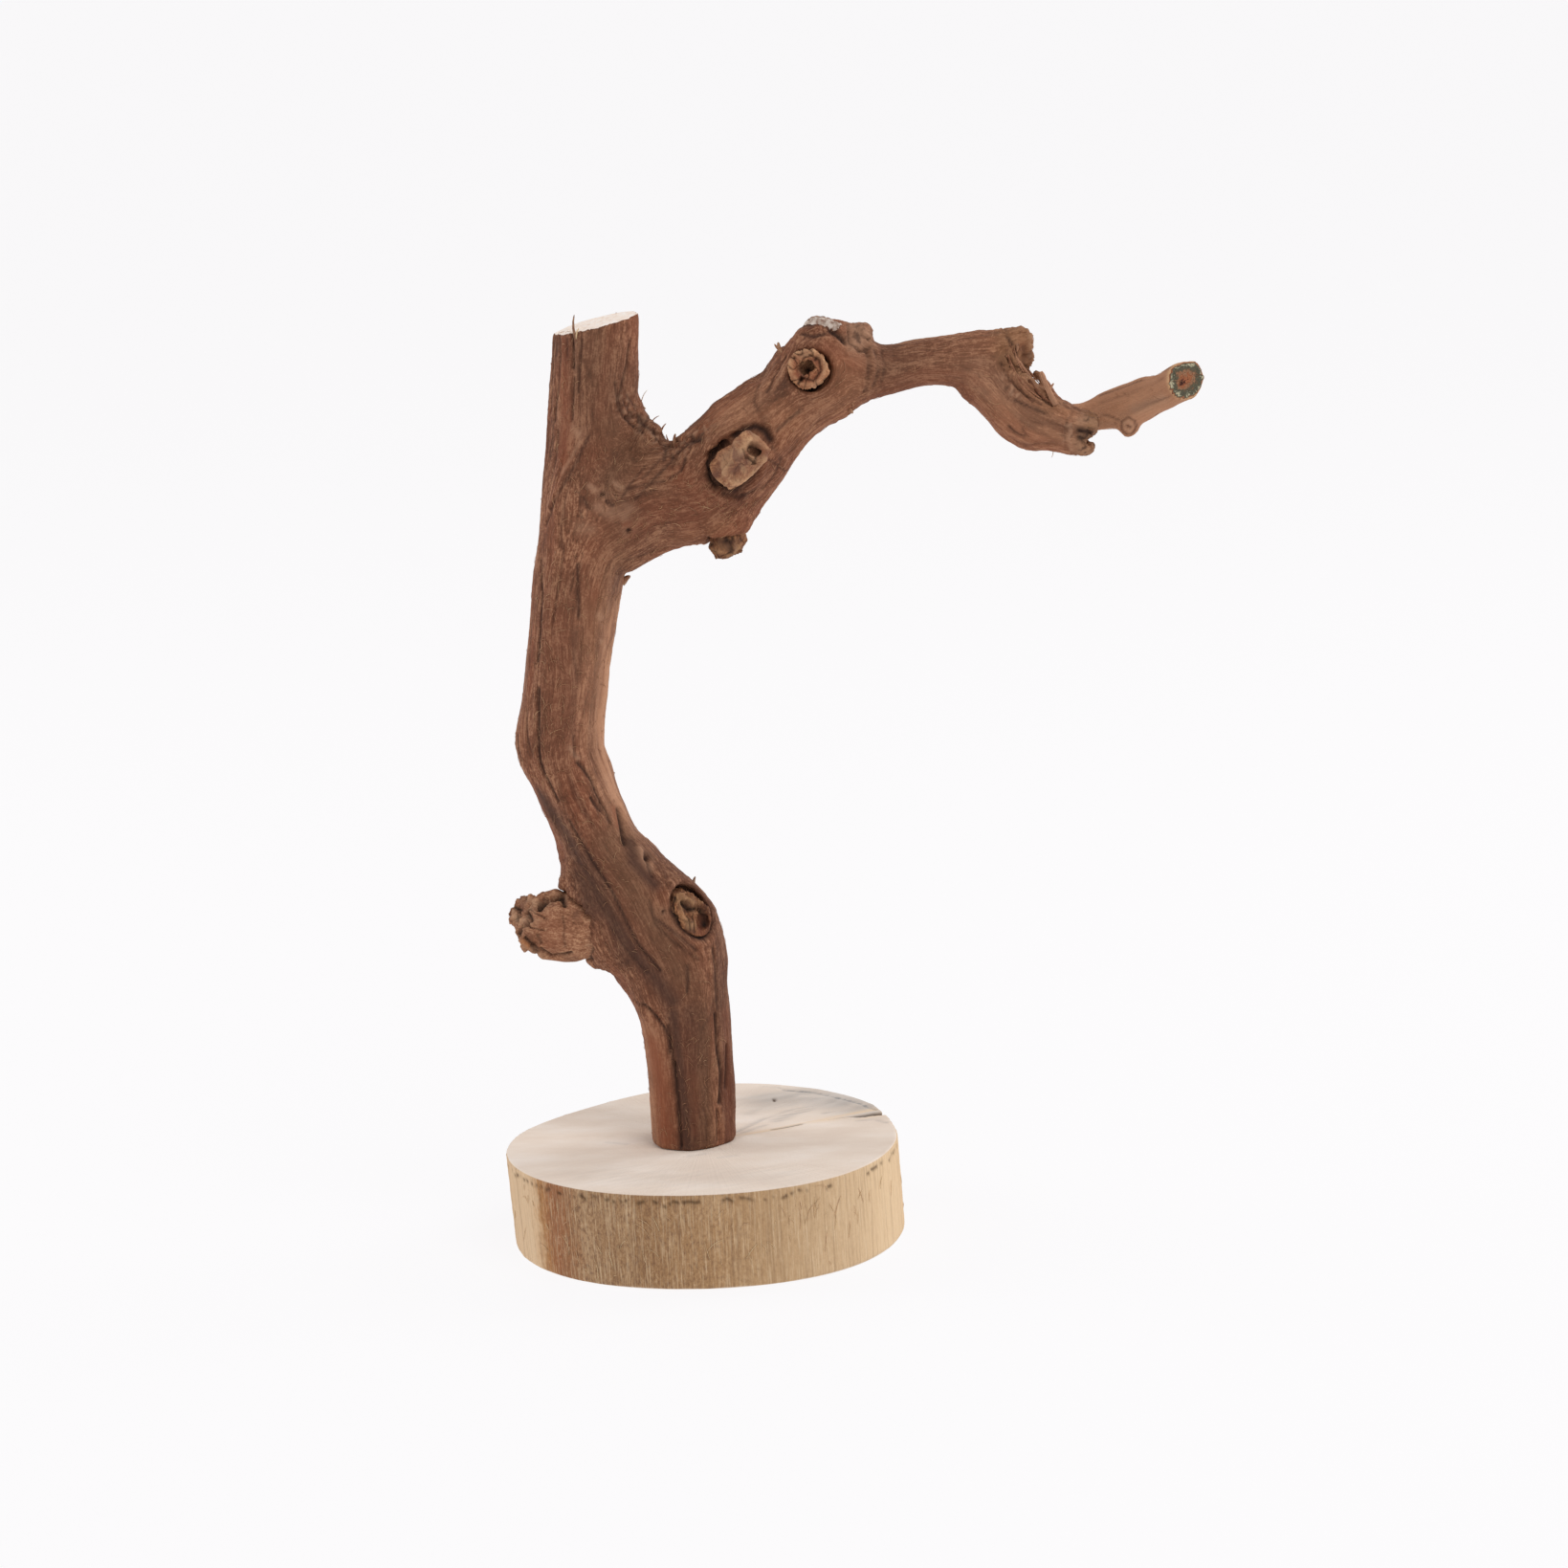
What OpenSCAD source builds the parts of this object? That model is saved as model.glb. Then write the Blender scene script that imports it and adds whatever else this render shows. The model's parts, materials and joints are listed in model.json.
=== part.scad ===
// Table-top bird perch: a forked natural branch screwed to a round slice of wood.
// Millimetres. +Z is up, X runs along the arm, and the viewer stands at -Y.
// The origin is the centre of the slice's underside.
// The branch is one piece of wood. The dead knots in it are pieces of their own,
// because each is old wood held in a pocket that the living branch grew round it.

/* [Base slice] */
// Mean diameter of the slice
base_d = 85; // [74:1:110]
// Thickness of the slice
base_h = 21; // [17:1:30]
// How far the underside is drawn in from the top, all round
base_taper = 0.2; // [0:0.1:2]
// How far the underside is shifted from the top, as the log leaned
base_lean = 0.8; // [0:0.1:2]
// Rounding of the slice's two rims
rim_round = 0.9; // [0.4:0.1:2]
// Length of the drying crack that runs in from the rim
crack_len = 17; // [8:0.5:26]
// Width of the drying crack at the rim
crack_w = 1.3; // [0.6:0.1:2.5]
// Depth of the drying crack below the slice's top
crack_deep = 11; // [6:0.5:15]

/* [Branch] */
// Height of the stem's sawn top above the slice
stem_h = 179; // [150:1:220]
// Diameter of the stem where it is plain
stem_d = 18.6; // [16:0.2:22]
// Reach of the arm, from the fork to the twig's sawn tip
arm_reach = 133; // [110:1:155]
// Diameter of the arm at its slimmest
arm_d = 10; // [8.6:0.2:12]
// Depth of the flutes in the wood, as a share of the radius
flute = 0.03; // [0:0.005:0.05]
// Slope of the sawn top, in degrees
saw_slope = 11; // [0:1:20]

/* [Dead knots] */
// Length of the stub on the front of the arm, beyond the wood round it
front_stub_len = 9.5; // [6:0.5:16]
// Diameter of the stub on the front of the arm
front_stub_d = 8.2; // [6:0.2:9.4]
// Length of the broken side stub, beyond its collar
broken_stub_len = 13; // [9:0.5:18]
// Diameter of the broken side stub
broken_stub_d = 14.6; // [11:0.2:17]
// Diameter of the hollow knot above the arm's bend
eye_knot_d = 8; // [6:0.2:9.4]
// Width of the pit in the hollow knot
eye_pit_d = 3; // [1.6:0.2:4.2]
// Length of the oval knot low on the stem
oval_knot_len = 11; // [8:0.5:13]
// Width of the oval knot low on the stem
oval_knot_w = 7; // [5:0.2:8.6]
// Length of the nub below the arm
nub_len = 4.6; // [3:0.2:7]
// Diameter of the nub below the arm
nub_d = 7.6; // [5.6:0.2:9]
// How deep each knot's root goes into the branch
root_depth = 4; // [3:0.2:5]
// Gap round a knot's root in its pocket
knot_gap = 0.12; // [0.05:0.01:0.3]
// Width of the open ring round a knot at the surface
mouth_gap = 0.8; // [0.3:0.1:1.4]

/* [Screw] */
// Length of the wood screw
screw_len = 45; // [35:1:60]
// Diameter of the screw's shank
screw_d = 4; // [3.5:0.1:5]
// Diameter of the screw's countersunk head
head_d = 8; // [7:0.1:9.6]
// Depth of the head below the slice's underside
head_recess = 2.5; // [1:0.1:5]
// Gap round the screw's shank in the slice
screw_gap = 0.25; // [0.1:0.05:0.5]
// Gap between the screw's head and its countersink, and round its shank in the branch
seat_gap = 0.05; // [0.02:0.01:0.1]

/* [Hidden] */

bark_brown = [0.47, 0.32, 0.25];
dead_tan = [0.62, 0.47, 0.32];
pale_wood = [0.86, 0.77, 0.67];
zinc = [0.72, 0.72, 0.74];

SLICE_SIDES = 72;
HOLE_FN = 48;
FAR = 400;
stem_r = stem_d / 2;
arm_k = arm_reach / 133;
arm_w = arm_d / 10 * arm_k;
top_z = base_h + stem_h;

// Vector helpers
function unit(v) = v / norm(v);
function place(s) = [s[0], s[1], s[2]];
function station(p, i) = p[max(0, min(len(p) - 1, i))];

// A smooth curve through hand-placed stations [x, y, z, half width, half depth]
function through(a, b, c, d, u) = 0.5 * (2 * b + (c - a) * u
    + (2 * a - 5 * b + 4 * c - d) * u * u + (3 * b - a - 3 * c + d) * u * u * u);
function along(p, t) =
    let (i = max(0, min(floor(t), len(p) - 2)))
    through(station(p, i - 1), p[i], p[i + 1], station(p, i + 2), t - i);
function heading(p, t) =
    unit(place(along(p, min(t + 0.05, len(p) - 1))) - place(along(p, max(t - 0.05, 0))));

// Side axis of a section: right of the stem, underneath the arm
function side_axis(p, t) = unit(cross([0, 1, 0], heading(p, t)));
function back_axis(p, t) = cross(heading(p, t), side_axis(p, t));

// Flutes run along the wood and turn slowly round it
function fluted(a, t) = 1 + flute * (cos(3 * a + 26 * t) + 0.7 * cos(5 * a - 34 * t + 50)
    + 0.45 * cos(9 * a + 21 * t + 120));

// A swelling is [station, angle, height in mm, length in stations, tightness round]
function swollen(a, t, swells) = len(swells) == 0 ? 0 :
    [for (s = swells) s[2] * exp(-pow((t - s[0]) / s[3], 2) + s[4] * (cos(a - s[1]) - 1))]
    * [for (s = swells) 1];

// A point of the wood's skin at station t, angle a: 0 is the side axis and 270 the front
function skin(p, t, a, swells) =
    let (s = along(p, t), g = fluted(a, t), h = swollen(a, t, swells))
    place(s) + side_axis(p, t) * cos(a) * (s[3] * g + h)
        + back_axis(p, t) * sin(a) * (s[4] * g + h);

// A length of wood: one closed skin of rings along the path
module limb(path, sides, steps, swells = []) {
    rings = (len(path) - 1) * steps;
    points = [for (i = [0:rings], j = [0:sides - 1]) skin(path, i / steps, j * 360 / sides, swells)];
    walls = [for (i = [0:rings - 1], j = [0:sides - 1])
        let (a = i * sides + j, b = i * sides + (j + 1) % sides)
        each [[a, a + sides, b + sides], [a, b + sides, b]]];
    polyhedron(points, concat([[for (j = [0:sides - 1]) j]], walls,
        [[for (j = [sides - 1:-1:0]) rings * sides + j]]), convexity = 6);
}

// Turns +Z towards a direction at a point
module seated(at, dir) {
    translate(at) rotate([0, acos(dir[2]), atan2(dir[1], dir[0])]) children();
}

// Removes everything on the outer side of a saw cut
module sawn_off(at, dir) {
    seated(at, dir) translate([-FAR / 2, -FAR / 2, 0]) cube(FAR);
}

// The stem, from its sawn foot on the slice to past its sawn top
function stem_at(x, y, share, wide, deep) =
    [x, y, base_h + share * stem_h, wide * stem_r, deep * stem_r];
stem = [
    stem_at(-2.4, 0, 0, 0.96, 0.94), stem_at(-2.2, 0, 0.07, 1, 0.97),
    stem_at(-2.4, 0.3, 0.13, 1.03, 1), stem_at(-3.3, 1, 0.18, 1.12, 1.06),
    stem_at(-5.2, 1.5, 0.23, 1.26, 1.12), stem_at(-8.8, 1.8, 0.28, 1.2, 1.14),
    stem_at(-14, 1.5, 0.33, 1.06, 1.06), stem_at(-18.5, 1, 0.37, 0.98, 1.02),
    stem_at(-21.7, 0.5, 0.42, 0.91, 1), stem_at(-24.6, 0, 0.47, 0.96, 1),
    stem_at(-25.8, -0.3, 0.5, 1.01, 1), stem_at(-25, -0.7, 0.54, 0.97, 0.98),
    stem_at(-23.4, -1, 0.59, 0.95, 0.98), stem_at(-21.6, -1, 0.65, 0.98, 1),
    stem_at(-20.2, -0.8, 0.69, 1, 1.02), stem_at(-18.3, -0.4, 0.75, 1.02, 1.06),
    stem_at(-16.2, 0, 0.82, 1.04, 1.06), stem_at(-15, 0.5, 0.87, 1.02, 1.01),
    stem_at(-14.1, 1, 0.93, 0.99, 0.98), stem_at(-12.9, 1.5, 0.99, 0.95, 0.97),
    stem_at(-11.8, 2, 1.05, 0.95, 0.96)];
// The collars of the broken stub and of the oval knot, and a bump above the oval knot
stem_swells = [
    [5.7, 188, 3.6, 0.9, 4], [4.95, 193, 3, 0.7, 4], [5, 326, 2.6, 1, 3],
    [6.6, 318, 0.8, 0.5, 6]];
saw_dir = [-sin(saw_slope), 0, cos(saw_slope)];

// The arm and what grows from it are placed from the fork, and grow with the arm's reach
fork = place(along(stem, 15.1));
function arm_at(x, y, z, wide, deep) = let (o = fork + [x, y, z] * arm_k)
    [o[0], o[1], o[2], wide * arm_w, deep * arm_w];
arm = [
    arm_at(3, 0.4, -2, 9.6, 8.4), arm_at(13.8, 0, 6.2, 12.2, 9.6),
    arm_at(25.4, -0.6, 8.6, 12, 10.2), arm_at(34, -1.6, 16, 11.2, 10.2),
    arm_at(40.2, -2.6, 21.5, 9.7, 9.6), arm_at(47, -3.1, 27, 9.3, 9.2),
    arm_at(54, -3, 30.8, 9, 8.8), arm_at(60.4, -2.6, 31.2, 7.3, 7.4),
    arm_at(66.4, -2.2, 30.9, 5.4, 5.8), arm_at(72.6, -1.8, 31.9, 5.2, 5.3),
    arm_at(78.4, -1.4, 32.2, 5.5, 5.4), arm_at(84, -1.2, 32, 5.9, 5.6),
    arm_at(90.2, -1, 32.6, 5.4, 5), arm_at(96, -0.8, 34.2, 4.4, 4.2)];
// A swelling below zero is the hollow in the crotch
arm_swells = [[2.9, 262, 1.4, 0.8, 3], [5.8, 255, 1.2, 0.7, 4], [2.2, 345, 0.6, 0.5, 6],
    [1.5, 180, -1.7, 0.5, 1.6]];

// The limb that turns down from the arm's tip and ends in the split stub
bent_limb = [
    arm_at(81, -1, 31.6, 4.4, 4.4), arm_at(86.2, -1.3, 28.2, 7, 5.6),
    arm_at(89.6, -2, 24.4, 6.6, 6.2), arm_at(93.9, -3, 20.4, 6.7, 6.2),
    arm_at(99, -3.8, 18.1, 6, 5.8), arm_at(103.4, -4.4, 16.4, 4.9, 5.2),
    arm_at(108.6, -4.8, 15, 4.3, 4.6)];

// The live twig that leaves the limb behind the split stub and comes forward to its sawn tip
twig = [
    arm_at(98, -0.4, 19.4, 2.6, 2.8), arm_at(104.2, 2.4, 18.2, 2.8, 3),
    arm_at(111.4, 2, 17.8, 3.1, 3.2), arm_at(117.4, -0.6, 20.1, 4, 3.7),
    arm_at(122.6, -4, 23.1, 4.1, 3.9), arm_at(126.2, -7.6, 25.6, 3.9, 4),
    arm_at(129.4, -11.6, 28.4, 3.9, 4)];
twig_saw_at = 5.4;
twig_saw_dir = unit([0.35, -0.92, 0.12]);

// The stump that stands on the arm, with the hollow knot in its front
stump = [
    arm_at(47.4, -2.6, 24, 7.8, 8), arm_at(51, -3.4, 31, 8.2, 8.6),
    arm_at(52.4, -3.8, 36.2, 7.6, 7.8), arm_at(53.8, -3.8, 39.8, 5.8, 6),
    arm_at(54.4, -3.6, 42.2, 4.2, 4.6)];

// Where each dead knot sits on the skin, and which way it points
front_seat = skin(arm, 2.8, 264, arm_swells);
front_dir = unit([0.48, -0.74, 0.5]);
eye_seat = skin(stump, 1.3, 260, []);
eye_dir = unit([-0.08, -0.97, 0.2]);
oval_seat = skin(stem, 4.9, 318, stem_swells);
oval_dir = unit([0.6, -0.79, 0.12]);
oval_turn = 28;
nub_seat = skin(arm, 2, 340, arm_swells);
nub_dir = unit([0.05, -0.32, -0.95]);
broken_seat = skin(stem, 5.75, 190, stem_swells);
broken_dir = unit([-0.99, -0.12, 0.06]);

// A straight piece of dead wood along +Z from its root: half widths at root, mouth and end
module dead_wood(len_out, r, taper, sides) {
    root = r - mouth_gap / 2;
    limb([
        [0, 0, -root_depth + knot_gap, root, root], [0, 0, -root_depth * 0.45, root, root],
        [0, 0, 0, r, r], [0, 0, len_out * 0.4, r * (1 + taper) / 2, r * (1 + taper) / 2],
        [0, 0, len_out * 0.75, r * taper, r * taper], [0, 0, len_out * 1.4, r * taper, r * taper]],
        sides, 2);
}

// The pocket that holds a round knot's root, with the open ring at its mouth
module pocket(r) {
    root = r - mouth_gap / 2;
    wide = (root * (1 + 2 * flute * 2.15) + knot_gap) / cos(180 / HOLE_FN);
    translate([0, 0, -root_depth]) cylinder(r = wide, h = root_depth + r, $fn = HOLE_FN);
    translate([0, 0, -root_depth * 0.4])
        cylinder(r1 = wide, r2 = wide + mouth_gap * 1.8, h = root_depth * 0.4 + r, $fn = HOLE_FN);
}

// The oval knot's outline, drawn in by a margin when it is the knot and not its pocket
module oval(grow) {
    resize([oval_knot_len + 2 * grow, oval_knot_w + 2 * grow]) circle(r = 5, $fn = 28);
}

// A knobbly lump: a chain of rounded swellings
module lump(balls) {
    for (i = [0:len(balls) - 2]) hull() {
        for (b = [balls[i], balls[i + 1]])
            translate(b[0]) sphere(r = b[1] * arm_w, $fn = 14);
    }
}
function off_fork(x, y, z) = fork + [x, y, z] * arm_k;

module knobs() {
    // The web of wood in the crotch of the fork
    lump([[off_fork(11, 0.4, 26), 3], [off_fork(14, 0.2, 19), 4.3], [off_fork(15, 0, 12), 5.2]]);
    // The bark lump beside the stump's weathered end
    lump([[off_fork(55, -3.6, 34), 3.8], [off_fork(58.4, -4, 37.6), 3.4],
        [off_fork(61, -3.6, 38), 2.9]]);
    // The bud under the twig
    lump([[off_fork(115.4, 0.6, 18.4), 2.4], [off_fork(115.8, 0.2, 15.4), 1.9]]);
    // The splinter torn up from the bent limb
    lump([[off_fork(102, -1.6, 20.6), 1.5], [off_fork(100, -1.4, 24.4), 1.1],
        [off_fork(98.3, -1.4, 28.1), 0.9]]);
    // The ragged strand below the arm's broken tip
    lump([[off_fork(93.4, -2.4, 31.4), 2.1], [off_fork(93, -3, 26.6), 1.5],
        [off_fork(96.6, -3.4, 21.8), 1.8]]);
}

module branch() {
    color(bark_brown) difference() {
        union() {
            difference() {
                union() {
                    limb(stem, 30, 3, stem_swells);
                    limb(arm, 28, 3, arm_swells);
                }
                sawn_off([stem[19][0], 0, top_z], saw_dir);
            }
            limb(bent_limb, 22, 3);
            limb(stump, 20, 3);
            difference() {
                limb(twig, 18, 3);
                sawn_off(place(along(twig, twig_saw_at)), twig_saw_dir);
            }
            knobs();
        }
        seated(front_seat, front_dir) pocket(front_stub_d / 2);
        seated(eye_seat, eye_dir) pocket(eye_knot_d / 2);
        seated(nub_seat, nub_dir) pocket(nub_d / 2);
        seated(broken_seat, broken_dir) pocket(broken_stub_d / 2);
        seated(oval_seat, oval_dir) rotate(oval_turn) oval_pocket();
        split_notch();
        tip_hollow();
        pilot_hole();
    }
}

module oval_pocket() {
    translate([0, 0, -root_depth]) linear_extrude(root_depth * 2) oval(knot_gap);
    translate([0, 0, -root_depth * 0.4]) linear_extrude(root_depth * 2, scale = 1.5) oval(knot_gap);
}

// The wedge that is missing from the end of the split stub
module split_notch() {
    split_deep = 5.4 * arm_k;
    split_open = 2.6 * arm_k;
    at = off_fork(108.6, 0, 14);
    translate(at) rotate([90, 0, 0]) linear_extrude(30, center = true)
        polygon([[-split_deep, 0.3], [split_deep, -split_open], [split_deep, split_open * 0.5]]);
}

// The rotted hollow in the arm's broken tip
module tip_hollow() {
    at = off_fork(96.4, -1.4, 33.4);
    hull() {
        translate(at) sphere(r = 2.1 * arm_w, $fn = 16);
        translate(at + [3, 0, -0.6]) sphere(r = 2.4 * arm_w, $fn = 16);
    }
}

// Holes for the screw share its axis, under the middle of the stem's foot
screw_at = [stem[0][0], stem[0][1], head_recess];
head_lip = 0.5;
head_h = (head_d - screw_d) / 2 + head_lip;
tip_h = screw_d * 1.5;

module pilot_hole() {
    pilot_r = (screw_d / 2 + seat_gap) / cos(180 / HOLE_FN);
    translate([screw_at[0], screw_at[1], 0])
        cylinder(r = pilot_r, h = head_recess + screw_len + 1, $fn = HOLE_FN);
}

// Radius of the slice at an angle: the three soft corners of a real log, and smaller waves
function slice_r(a) = base_d / 2 * (1 + 0.014 * cos(a - 60) + 0.005 * cos(2 * a - 80)
    + 0.025 * cos(3 * a + 140) + 0.008 * cos(4 * a + 35) + 0.006 * cos(5 * a - 77));
// The log leans a little, so the slice's underside sits to the right of its top
function slice_ring(z, inset) = [for (i = [0:SLICE_SIDES - 1])
    let (a = i * 360 / SLICE_SIDES, r = slice_r(a) - inset)
    [r * cos(a) + base_lean * (1 - z / base_h), r * sin(a), z]];

module slice_blank() {
    rings = [
        slice_ring(0, base_taper + rim_round), slice_ring(rim_round * 0.35, base_taper + rim_round * 0.3),
        slice_ring(rim_round, base_taper), slice_ring(base_h * 0.45, base_taper * 0.2),
        slice_ring(base_h - rim_round, 0), slice_ring(base_h - rim_round * 0.3, rim_round * 0.25),
        slice_ring(base_h, rim_round * 0.8)];
    n = SLICE_SIDES;
    walls = [for (i = [0:len(rings) - 2], j = [0:n - 1])
        let (a = i * n + j, b = i * n + (j + 1) % n) each [[a, a + n, b + n], [a, b + n, b]]];
    polyhedron([for (r = rings) each r], concat([[for (j = [0:n - 1]) j]], walls,
        [[for (j = [n - 1:-1:0]) (len(rings) - 1) * n + j]]), convexity = 3);
}

module base_slice() {
    crack_turn = 19;
    color(pale_wood) difference() {
        slice_blank();
        // The screw's clearance hole, and the recess that keeps its head off the table
        translate([screw_at[0], screw_at[1], -1]) {
            cylinder(r = screw_d / 2 + screw_gap, h = base_h + 2, $fn = HOLE_FN);
            cylinder(r = head_d / 2 + screw_gap, h = head_recess + 1, $fn = HOLE_FN);
        }
        // The countersink that the head is drawn up into
        translate([screw_at[0], screw_at[1], head_recess])
            cylinder(r = head_d / 2 + seat_gap, h = head_lip + seat_gap, $fn = HOLE_FN);
        translate([screw_at[0], screw_at[1], head_recess + head_lip + seat_gap])
            cylinder(r1 = head_d / 2 + seat_gap, r2 = screw_d / 2 + seat_gap,
                h = head_h - head_lip, $fn = HOLE_FN);
        // The drying crack
        rotate(crack_turn) translate([base_d / 2 + 2, 0, base_h - crack_deep])
            linear_extrude(crack_deep + 1)
                polygon([[-crack_len - 2, 0], [0, crack_w / 2 * 1.2], [0, -crack_w / 2 * 1.2]]);
    }
}

module wood_screw() {
    slot_w = 0.9;
    slot_deep = head_h * 0.7;
    color(zinc) translate(screw_at) difference() {
        rotate_extrude($fn = HOLE_FN) polygon([
            [0, 0], [head_d / 2, 0], [head_d / 2, head_lip], [screw_d / 2, head_h],
            [screw_d / 2, screw_len - tip_h], [0, screw_len]]);
        for (turn = [0, 90]) rotate(turn)
            translate([-head_d * 0.27, -slot_w / 2, -1]) cube([head_d * 0.54, slot_w, slot_deep + 1]);
    }
}

module front_stub() {
    cut_dir = unit([0.25, -0.2, 1]);
    color(dead_tan) seated(front_seat, front_dir) difference() {
        dead_wood(front_stub_len, front_stub_d / 2, 0.94, 22);
        sawn_off([0, 0, front_stub_len], cut_dir);
        // The pith has rotted out
        translate([0.6, 0.8, front_stub_len - 2.4]) cylinder(r1 = 0.5, r2 = 1.2, h = 4, $fn = 16);
    }
}

module eye_knot() {
    proud = 1.2;
    color(dead_tan) seated(eye_seat, eye_dir) difference() {
        dead_wood(proud, eye_knot_d / 2, 0.96, 22);
        sawn_off([0, 0, proud], [0, 0, 1]);
        // The pit in its middle
        translate([-0.2, -0.3, -root_depth * 0.6]) scale([1, 1.25, 1])
            cylinder(r1 = eye_pit_d * 0.3, r2 = eye_pit_d * 0.6, h = root_depth + proud, $fn = 20);
    }
}

module oval_knot() {
    sunk = 0.3;
    color(dead_tan) seated(oval_seat, oval_dir) rotate(oval_turn) difference() {
        translate([0, 0, -root_depth + knot_gap])
            linear_extrude(root_depth - sunk - knot_gap, scale = 0.94) oval(0);
        // The rotted corner
        translate([oval_knot_len * 0.24, oval_knot_w * 0.1, -sunk]) sphere(r = oval_knot_w * 0.22, $fn = 16);
    }
}

module arm_nub() {
    color(dead_tan) seated(nub_seat, nub_dir) difference() {
        dead_wood(nub_len, nub_d / 2, 0.8, 20);
        sawn_off([0, 0, nub_len], unit([0.3, 0.1, 1]));
        sawn_off([-nub_d * 0.2, 0, nub_len], unit([-0.7, 0.1, 1]));
    }
}

module broken_stub() {
    r = broken_stub_d / 2;
    tip = broken_stub_len;
    color(dead_tan) seated(broken_seat, broken_dir) difference() {
        dead_wood(tip, r, 0.93, 26);
        // The ragged break: three faces meeting off centre, and a cleft below
        sawn_off([0, 0, tip], unit([0.35, 0.2, 1]));
        sawn_off([r * 0.3, 0, tip - 2], unit([0.8, 0.1, 1]));
        sawn_off([-r * 0.4, 0, tip - 1.4], unit([-0.7, 0.3, 1]));
        translate([r * 0.55, -r * 0.2, tip - 3]) rotate([0, 24, 0])
            cylinder(r1 = 0.4, r2 = 2.2, h = 5, $fn = 14);
    }
}

base_slice();
branch();
wood_screw();
front_stub();
eye_knot();
oval_knot();
arm_nub();
broken_stub();
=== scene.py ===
# %% [markdown]
# A bird perch: a forked, sun-dried branch screwed upright onto a thick slice of log.
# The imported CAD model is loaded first. It fixes every size and place, and the sculpted pieces below are
# fitted over it.

# %% Load the fixed frame
import json
import math
import bpy
import numpy as np
from mathutils import Matrix, Vector
from mathutils.bvhtree import BVHTree

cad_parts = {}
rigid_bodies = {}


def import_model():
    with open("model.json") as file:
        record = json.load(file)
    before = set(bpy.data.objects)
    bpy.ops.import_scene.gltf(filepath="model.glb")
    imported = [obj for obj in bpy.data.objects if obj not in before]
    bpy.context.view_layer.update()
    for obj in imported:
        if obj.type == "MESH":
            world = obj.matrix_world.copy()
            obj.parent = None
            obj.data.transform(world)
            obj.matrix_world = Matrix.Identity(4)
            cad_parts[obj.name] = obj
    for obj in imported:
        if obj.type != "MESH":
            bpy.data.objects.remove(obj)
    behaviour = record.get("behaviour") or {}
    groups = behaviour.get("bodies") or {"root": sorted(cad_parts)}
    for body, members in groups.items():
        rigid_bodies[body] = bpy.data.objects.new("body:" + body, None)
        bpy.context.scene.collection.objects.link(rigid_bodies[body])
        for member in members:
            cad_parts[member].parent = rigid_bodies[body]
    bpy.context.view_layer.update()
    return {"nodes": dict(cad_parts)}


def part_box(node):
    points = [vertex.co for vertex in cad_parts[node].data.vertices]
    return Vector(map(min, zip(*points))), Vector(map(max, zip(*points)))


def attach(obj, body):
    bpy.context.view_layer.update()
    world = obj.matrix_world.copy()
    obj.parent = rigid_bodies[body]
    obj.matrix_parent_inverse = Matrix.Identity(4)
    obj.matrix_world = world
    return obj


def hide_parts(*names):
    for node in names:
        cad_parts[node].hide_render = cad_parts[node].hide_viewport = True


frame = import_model()
for named in frame["nodes"].values():
    named.select_set(False)

# %% [markdown]
# The camera stands a metre in front and looks down by 12 degrees, and it is rolled by 3 degrees, so the
# perch leans a little.
# A long lens keeps the slice's ellipse flat. The place was found by matching the corners of the CAD model
# to the picture.

# %% Camera
focal, sensor = 116.2, 36.0                      # mm
middle_pixel = 1639 / 2                          # the picture is 1639 pixels square
pixel = 0.2                                      # mm that one picture pixel covers at the branch
look_down, roll = math.radians(12.3), math.radians(3.0)
right = Vector((1, 0, 0))
ahead = Vector((0, math.cos(look_down), -math.sin(look_down)))
above = Vector((0, math.sin(look_down), math.cos(look_down)))
eye_place = Vector((0.021461, -1.058514, 0.329800))
cam_x = right * math.cos(roll) - above * math.sin(roll)
cam_y = right * math.sin(roll) + above * math.cos(roll)
bpy.ops.object.camera_add(location=eye_place)
camera = bpy.context.object
camera.name = "front_camera"
camera.rotation_euler = Matrix((cam_x, cam_y, -ahead)).transposed().to_euler()
camera.data.lens, camera.data.sensor_width = focal, sensor
camera.data.clip_start, camera.data.clip_end = 0.05, 20.0
bpy.context.scene.camera = camera
print("camera at", [round(v, 3) for v in camera.location])

# %% [markdown]
# A node tree is easier to read when one function adds a node, sets it and links it. Colours are written as
# sRGB hex values, as a designer picks them, and one function turns them into the linear values that the
# shader wants.


# %% Colour and node helpers
def hex_colour(code):
    parts = [int(code[i:i + 2], 16) / 255 for i in (1, 3, 5)]
    return [p / 12.92 if p <= 0.04045 else ((p + 0.055) / 1.055) ** 2.4 for p in parts] + [1.0]


def put(tree, kind, inputs=None, stops=None, **settings):
    """An input takes a value, a hex colour, a socket, or a node, which stands for its live output."""
    made = tree.nodes.new("ShaderNode" + kind)
    for name, value in settings.items():
        setattr(made, name, value)
    for name, value in (inputs or {}).items():
        socket = made.inputs[name]
        if isinstance(value, bpy.types.Node):
            value = next(output for output in value.outputs if output.enabled)
        if isinstance(value, bpy.types.NodeSocket):
            tree.links.new(value, socket)
        else:
            socket.default_value = hex_colour(value) if isinstance(value, str) else value
    if stops:
        ramp = made.color_ramp
        while len(ramp.elements) < len(stops):
            ramp.elements.new(0.5)
        for element, (at, code) in zip(ramp.elements, stops):
            element.position, element.color = at, hex_colour(code)
    return made


def new_material(name, **surface):
    material = bpy.data.materials.new(name)
    material.use_nodes = True
    tree = material.node_tree
    tree.nodes.clear()
    shader = put(tree, "BsdfPrincipled", surface)
    put(tree, "OutputMaterial", {"Surface": shader})
    return material, tree, shader


def read(tree, name, out="Fac"):
    return put(tree, "Attribute", attribute_name=name).outputs[out]


print("white as a linear colour:", hex_colour("#FFFFFF"))

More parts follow.
